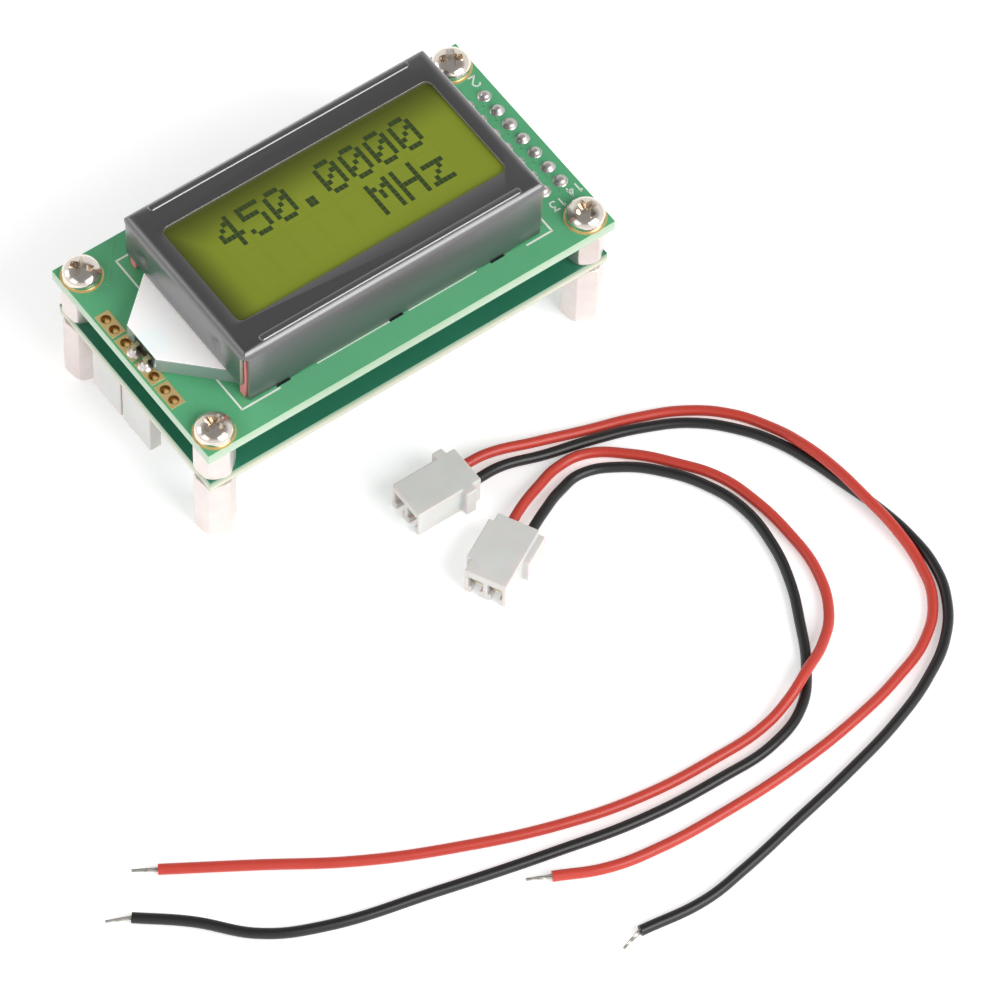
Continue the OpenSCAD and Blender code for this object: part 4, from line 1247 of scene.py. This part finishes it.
bm = bmesh.new()
for x, y in CORNERS:
    ring = turn_profile(bm, RING, (x, y), 48)
    bmesh.ops.translate(bm, vec=(0, 0, BOARD_TOP), verts=ring)
make_piece(bm, "gold_rings", "screw_pads", paint["gold"])
bm = bmesh.new()
pad_boxes = island_boxes("backlight_pads")
for low, high in pad_boxes:
    x, y = middle(low, high)
    for s in (-1, 1):
        turn_profile(bm, [(sleeve_r, board_low.z), (sleeve_r, high.z + 0.01),
                          (bore_r + 0.03, high.z + 0.01), (bore_r, high.z - 0.06),
                          (bore_r, board_low.z), (sleeve_r, board_low.z)],
                     (x, y + s * HOLE_STEP / 2), 24)
make_piece(bm, "hole_barrels", "backlight_pads", paint["barrel"], stands_for=False)
refine("backlight_pads", paint["gold"], 0.015)
print("gold pads:", len(pad_boxes))

# %% [markdown]
# Connectors. Moulded housings have soft edges everywhere, because plastic can't fill a sharp corner, so
# the CAD shapes of the plugs and sockets, with their ribs and latches, are copied and beveled more than
# the metal pins and contacts are.

# %% Moulded housings
for node, key, edge in (("power_socket", "nylon", 0.16), ("signal_socket", "nylon", 0.16),
                        ("power_plug", "nylon", 0.22), ("signal_plug", "nylon", 0.22),
                        ("header_base", "header", 0.1), ("power_socket_pins", "tin", 0.1),
                        ("signal_socket_pins", "tin", 0.1), ("header_pins", "gold", 0.08),
                        ("power_plug_contacts", "contact", 0.06),
                        ("signal_plug_contacts", "contact", 0.06)):
    refine(node, paint[key], edge, 3 if key == "nylon" else 2)
print("housings refined")

# %% [markdown]
# Underneath. The main board carries the working parts: chips with bent legs, a crystal in its can, a
# trimmer, a regulator, capacitors, a diode, small chip parts and three push switches. Chips are moulded
# in two halves, so their sides have a slight taper; here the bodies keep the CAD shape with eased
# edges, and legs and cans are metal.

# %% Chips and cans
for node, key, edge in (("microcontroller", "chip", 0.12), ("microcontroller_legs", "tin", 0.03),
                        ("prescaler", "chip", 0.1), ("prescaler_legs", "tin", 0.03),
                        ("crystal_can", "can", 0.2), ("trimmer_base", "trimmer", 0.12),
                        ("trimmer_rotor", "nickel", 0.08), ("voltage_regulator", "chip", 0.08),
                        ("protection_diode", "chip", 0.1), ("switch_bases", "header", 0.1),
                        ("switch_covers", "can", 0.05), ("switch_legs", "tin", 0.04),
                        ("mode_button", "button", 0.18), ("up_button", "button", 0.18),
                        ("down_button", "button", 0.18)):
    refine(node, paint[key], edge)
print("refined underside parts")

# %% [markdown]
# A chip resistor or capacitor is a tiny ceramic brick with a metal cap on each end. The CAD model gives
# each one's box; a loop puts a body between two slightly larger caps in every box.

# %% Chip parts
CAP_L = 0.38
EASE = 0.03
OVERLAP = 0.8


def chip_parts(node, body_key):
    """Bodies and end caps for every small brick in a node."""
    bodies, caps = bmesh.new(), bmesh.new()
    for low, high in island_boxes(node):
        add_box(bodies, (low.x + CAP_L * OVERLAP, low.y + EASE, low.z + EASE),
                (high.x - CAP_L * OVERLAP, high.y - EASE, high.z - EASE))
        add_box(caps, low, (low.x + CAP_L, high.y, high.z))
        add_box(caps, (high.x - CAP_L, low.y, low.z), high)
    make_piece(bodies, node + "_bodies", node, paint[body_key], bevel=0.05)
    make_piece(caps, node + "_ends", node, paint["solder"], bevel=0.08, stands_for=False)


chip_parts("chip_resistors", "chip")
chip_parts("chip_capacitors", "ceramic")

# %% [markdown]
# An electrolytic capacitor is an aluminium can crimped into a black base with two cut corners. The can
# is a spun profile with the crimp's groove near its foot and a rolled edge at its top; a dark half disc
# marks its negative side.

# %% Filter capacitors
CAN_INSET = 0.2
BASE_H = 0.8
BASE_CUT = 0.9
MARK_R = 0.93
MARK_RISE = 0.015

cans, bases, marks = bmesh.new(), bmesh.new(), bmesh.new()
for low, high in island_boxes("filter_capacitors"):
    cx, cy = middle(low, high)
    half, tall = (high.x - low.x) / 2, high.z - low.z
    r = half - CAN_INSET
    profile = [(0, tall), (r - 0.25, tall), (r - 0.06, tall - 0.07), (r, tall - 0.25),
               (r, 1.75), (r - 0.18, 1.6), (r - 0.2, 1.45), (r - 0.02, 1.3), (r, 1.15),
               (r - 0.05, BASE_H), (0, BASE_H)]
    can = turn_profile(cans, profile, (cx, cy), 40)
    for vert in can:
        vert.co.z = high.z - vert.co.z
    cut = half - BASE_CUT
    corners = [(-half, -half), (half, -half), (half, cut), (cut, half), (-cut, half), (-half, cut)]
    face = flat_outline(bases, [(cx + x, cy + y) for x, y in corners], high.z - BASE_H)
    raise_face(bases, face, BASE_H)
    arc = [(cx + r * MARK_R * math.cos(math.radians(a)), cy + r * MARK_R * math.sin(math.radians(a)))
           for a in range(125, 236, 10)]
    face = flat_outline(marks, arc, low.z - MARK_RISE)
    raise_face(marks, face, 0.02)
make_piece(cans, "capacitor_cans", "filter_capacitors", paint["aluminium"], smooth=40)
make_piece(bases, "capacitor_bases", "filter_capacitors", paint["header"], bevel=0.08,
           stands_for=False)
make_piece(marks, "capacitor_marks", "filter_capacitors", paint["chip"], stands_for=False)
print("filter capacitors done")

# %% [markdown]
# The display's driver chips sit bare on the board under blobs of black epoxy. A blob is a low dome with
# an uneven rim: a spun profile whose radius wavers a little as it goes round.

# %% Epoxy blobs
WAVER = 0.03
bm = bmesh.new()
for k, (low, high) in enumerate(island_boxes("driver_blobs")):
    r, tall = (high.x - low.x) / 2, high.z - low.z
    profile = [(r * math.sin(math.radians(a)), -tall * math.cos(math.radians(a)))
               for a in range(0, 91, 9)]
    profile[0] = (0.0, -tall)
    blob = turn_profile(bm, profile, steps=40)
    for vert in blob:
        a = math.atan2(vert.co.y, vert.co.x)
        waver = 1 - WAVER - WAVER * math.sin(3 * a + k)
        vert.co.x *= waver
        vert.co.y *= waver
    bmesh.ops.translate(bm, vec=(*middle(low, high), high.z), verts=blob)
make_piece(bm, "epoxy_blobs", "driver_blobs", paint["epoxy"], smooth=70)
print("blobs cast")

# %% [markdown]
# Tracks run out of the microcontroller's legs on both sides, from the header's inner pins, and from the
# small chip parts. They start at places read from the CAD model and take a bend at forty-five degrees
# or so, as board layouts do.

# %% Tracks under the main board
bm = bmesh.new()
legs, resistors, capacitors = ([middle(*box) for box in island_boxes(node)] for node in (
    "microcontroller_legs", "chip_resistors", "chip_capacitors"))
tracks = []
mid_y = sum(y for _, y in legs) / len(legs)
for i, (x, y) in enumerate(legs):
    out = 1 if y > mid_y else -1
    reach = 0.9 + 0.35 * (i % 3)
    bend = 0.7 if i % 2 else -0.7
    tracks.append([(x, y), (x, y + out * reach), (x + bend, y + out * (reach + 0.7)),
                   (x + bend, y + out * (reach + 1.1))])
tracks += [[(x, y), (x - 1.0, y), (x - 1.8, y + 0.8), (x - 3.0, y + 0.8)]
           for x, y in PIN_SPOTS if x < inner_x + 0.1]
for spots in (resistors, capacitors):
    for i, (x, y) in enumerate(spots):
        s = 1 if i % 2 else -1
        tracks.append([(x + 0.8 * s, y), (x + 1.9 * s, y), (x + 2.5 * s, y - 0.6)])
for path in tracks:
    lay_strip(bm, path, UNDER_TRACK_W, main_low.z, -TRACK_RISE)
make_piece(bm, "under_tracks", "main_board", paint["trace_dark"], stands_for=False)
print("under tracks laid")
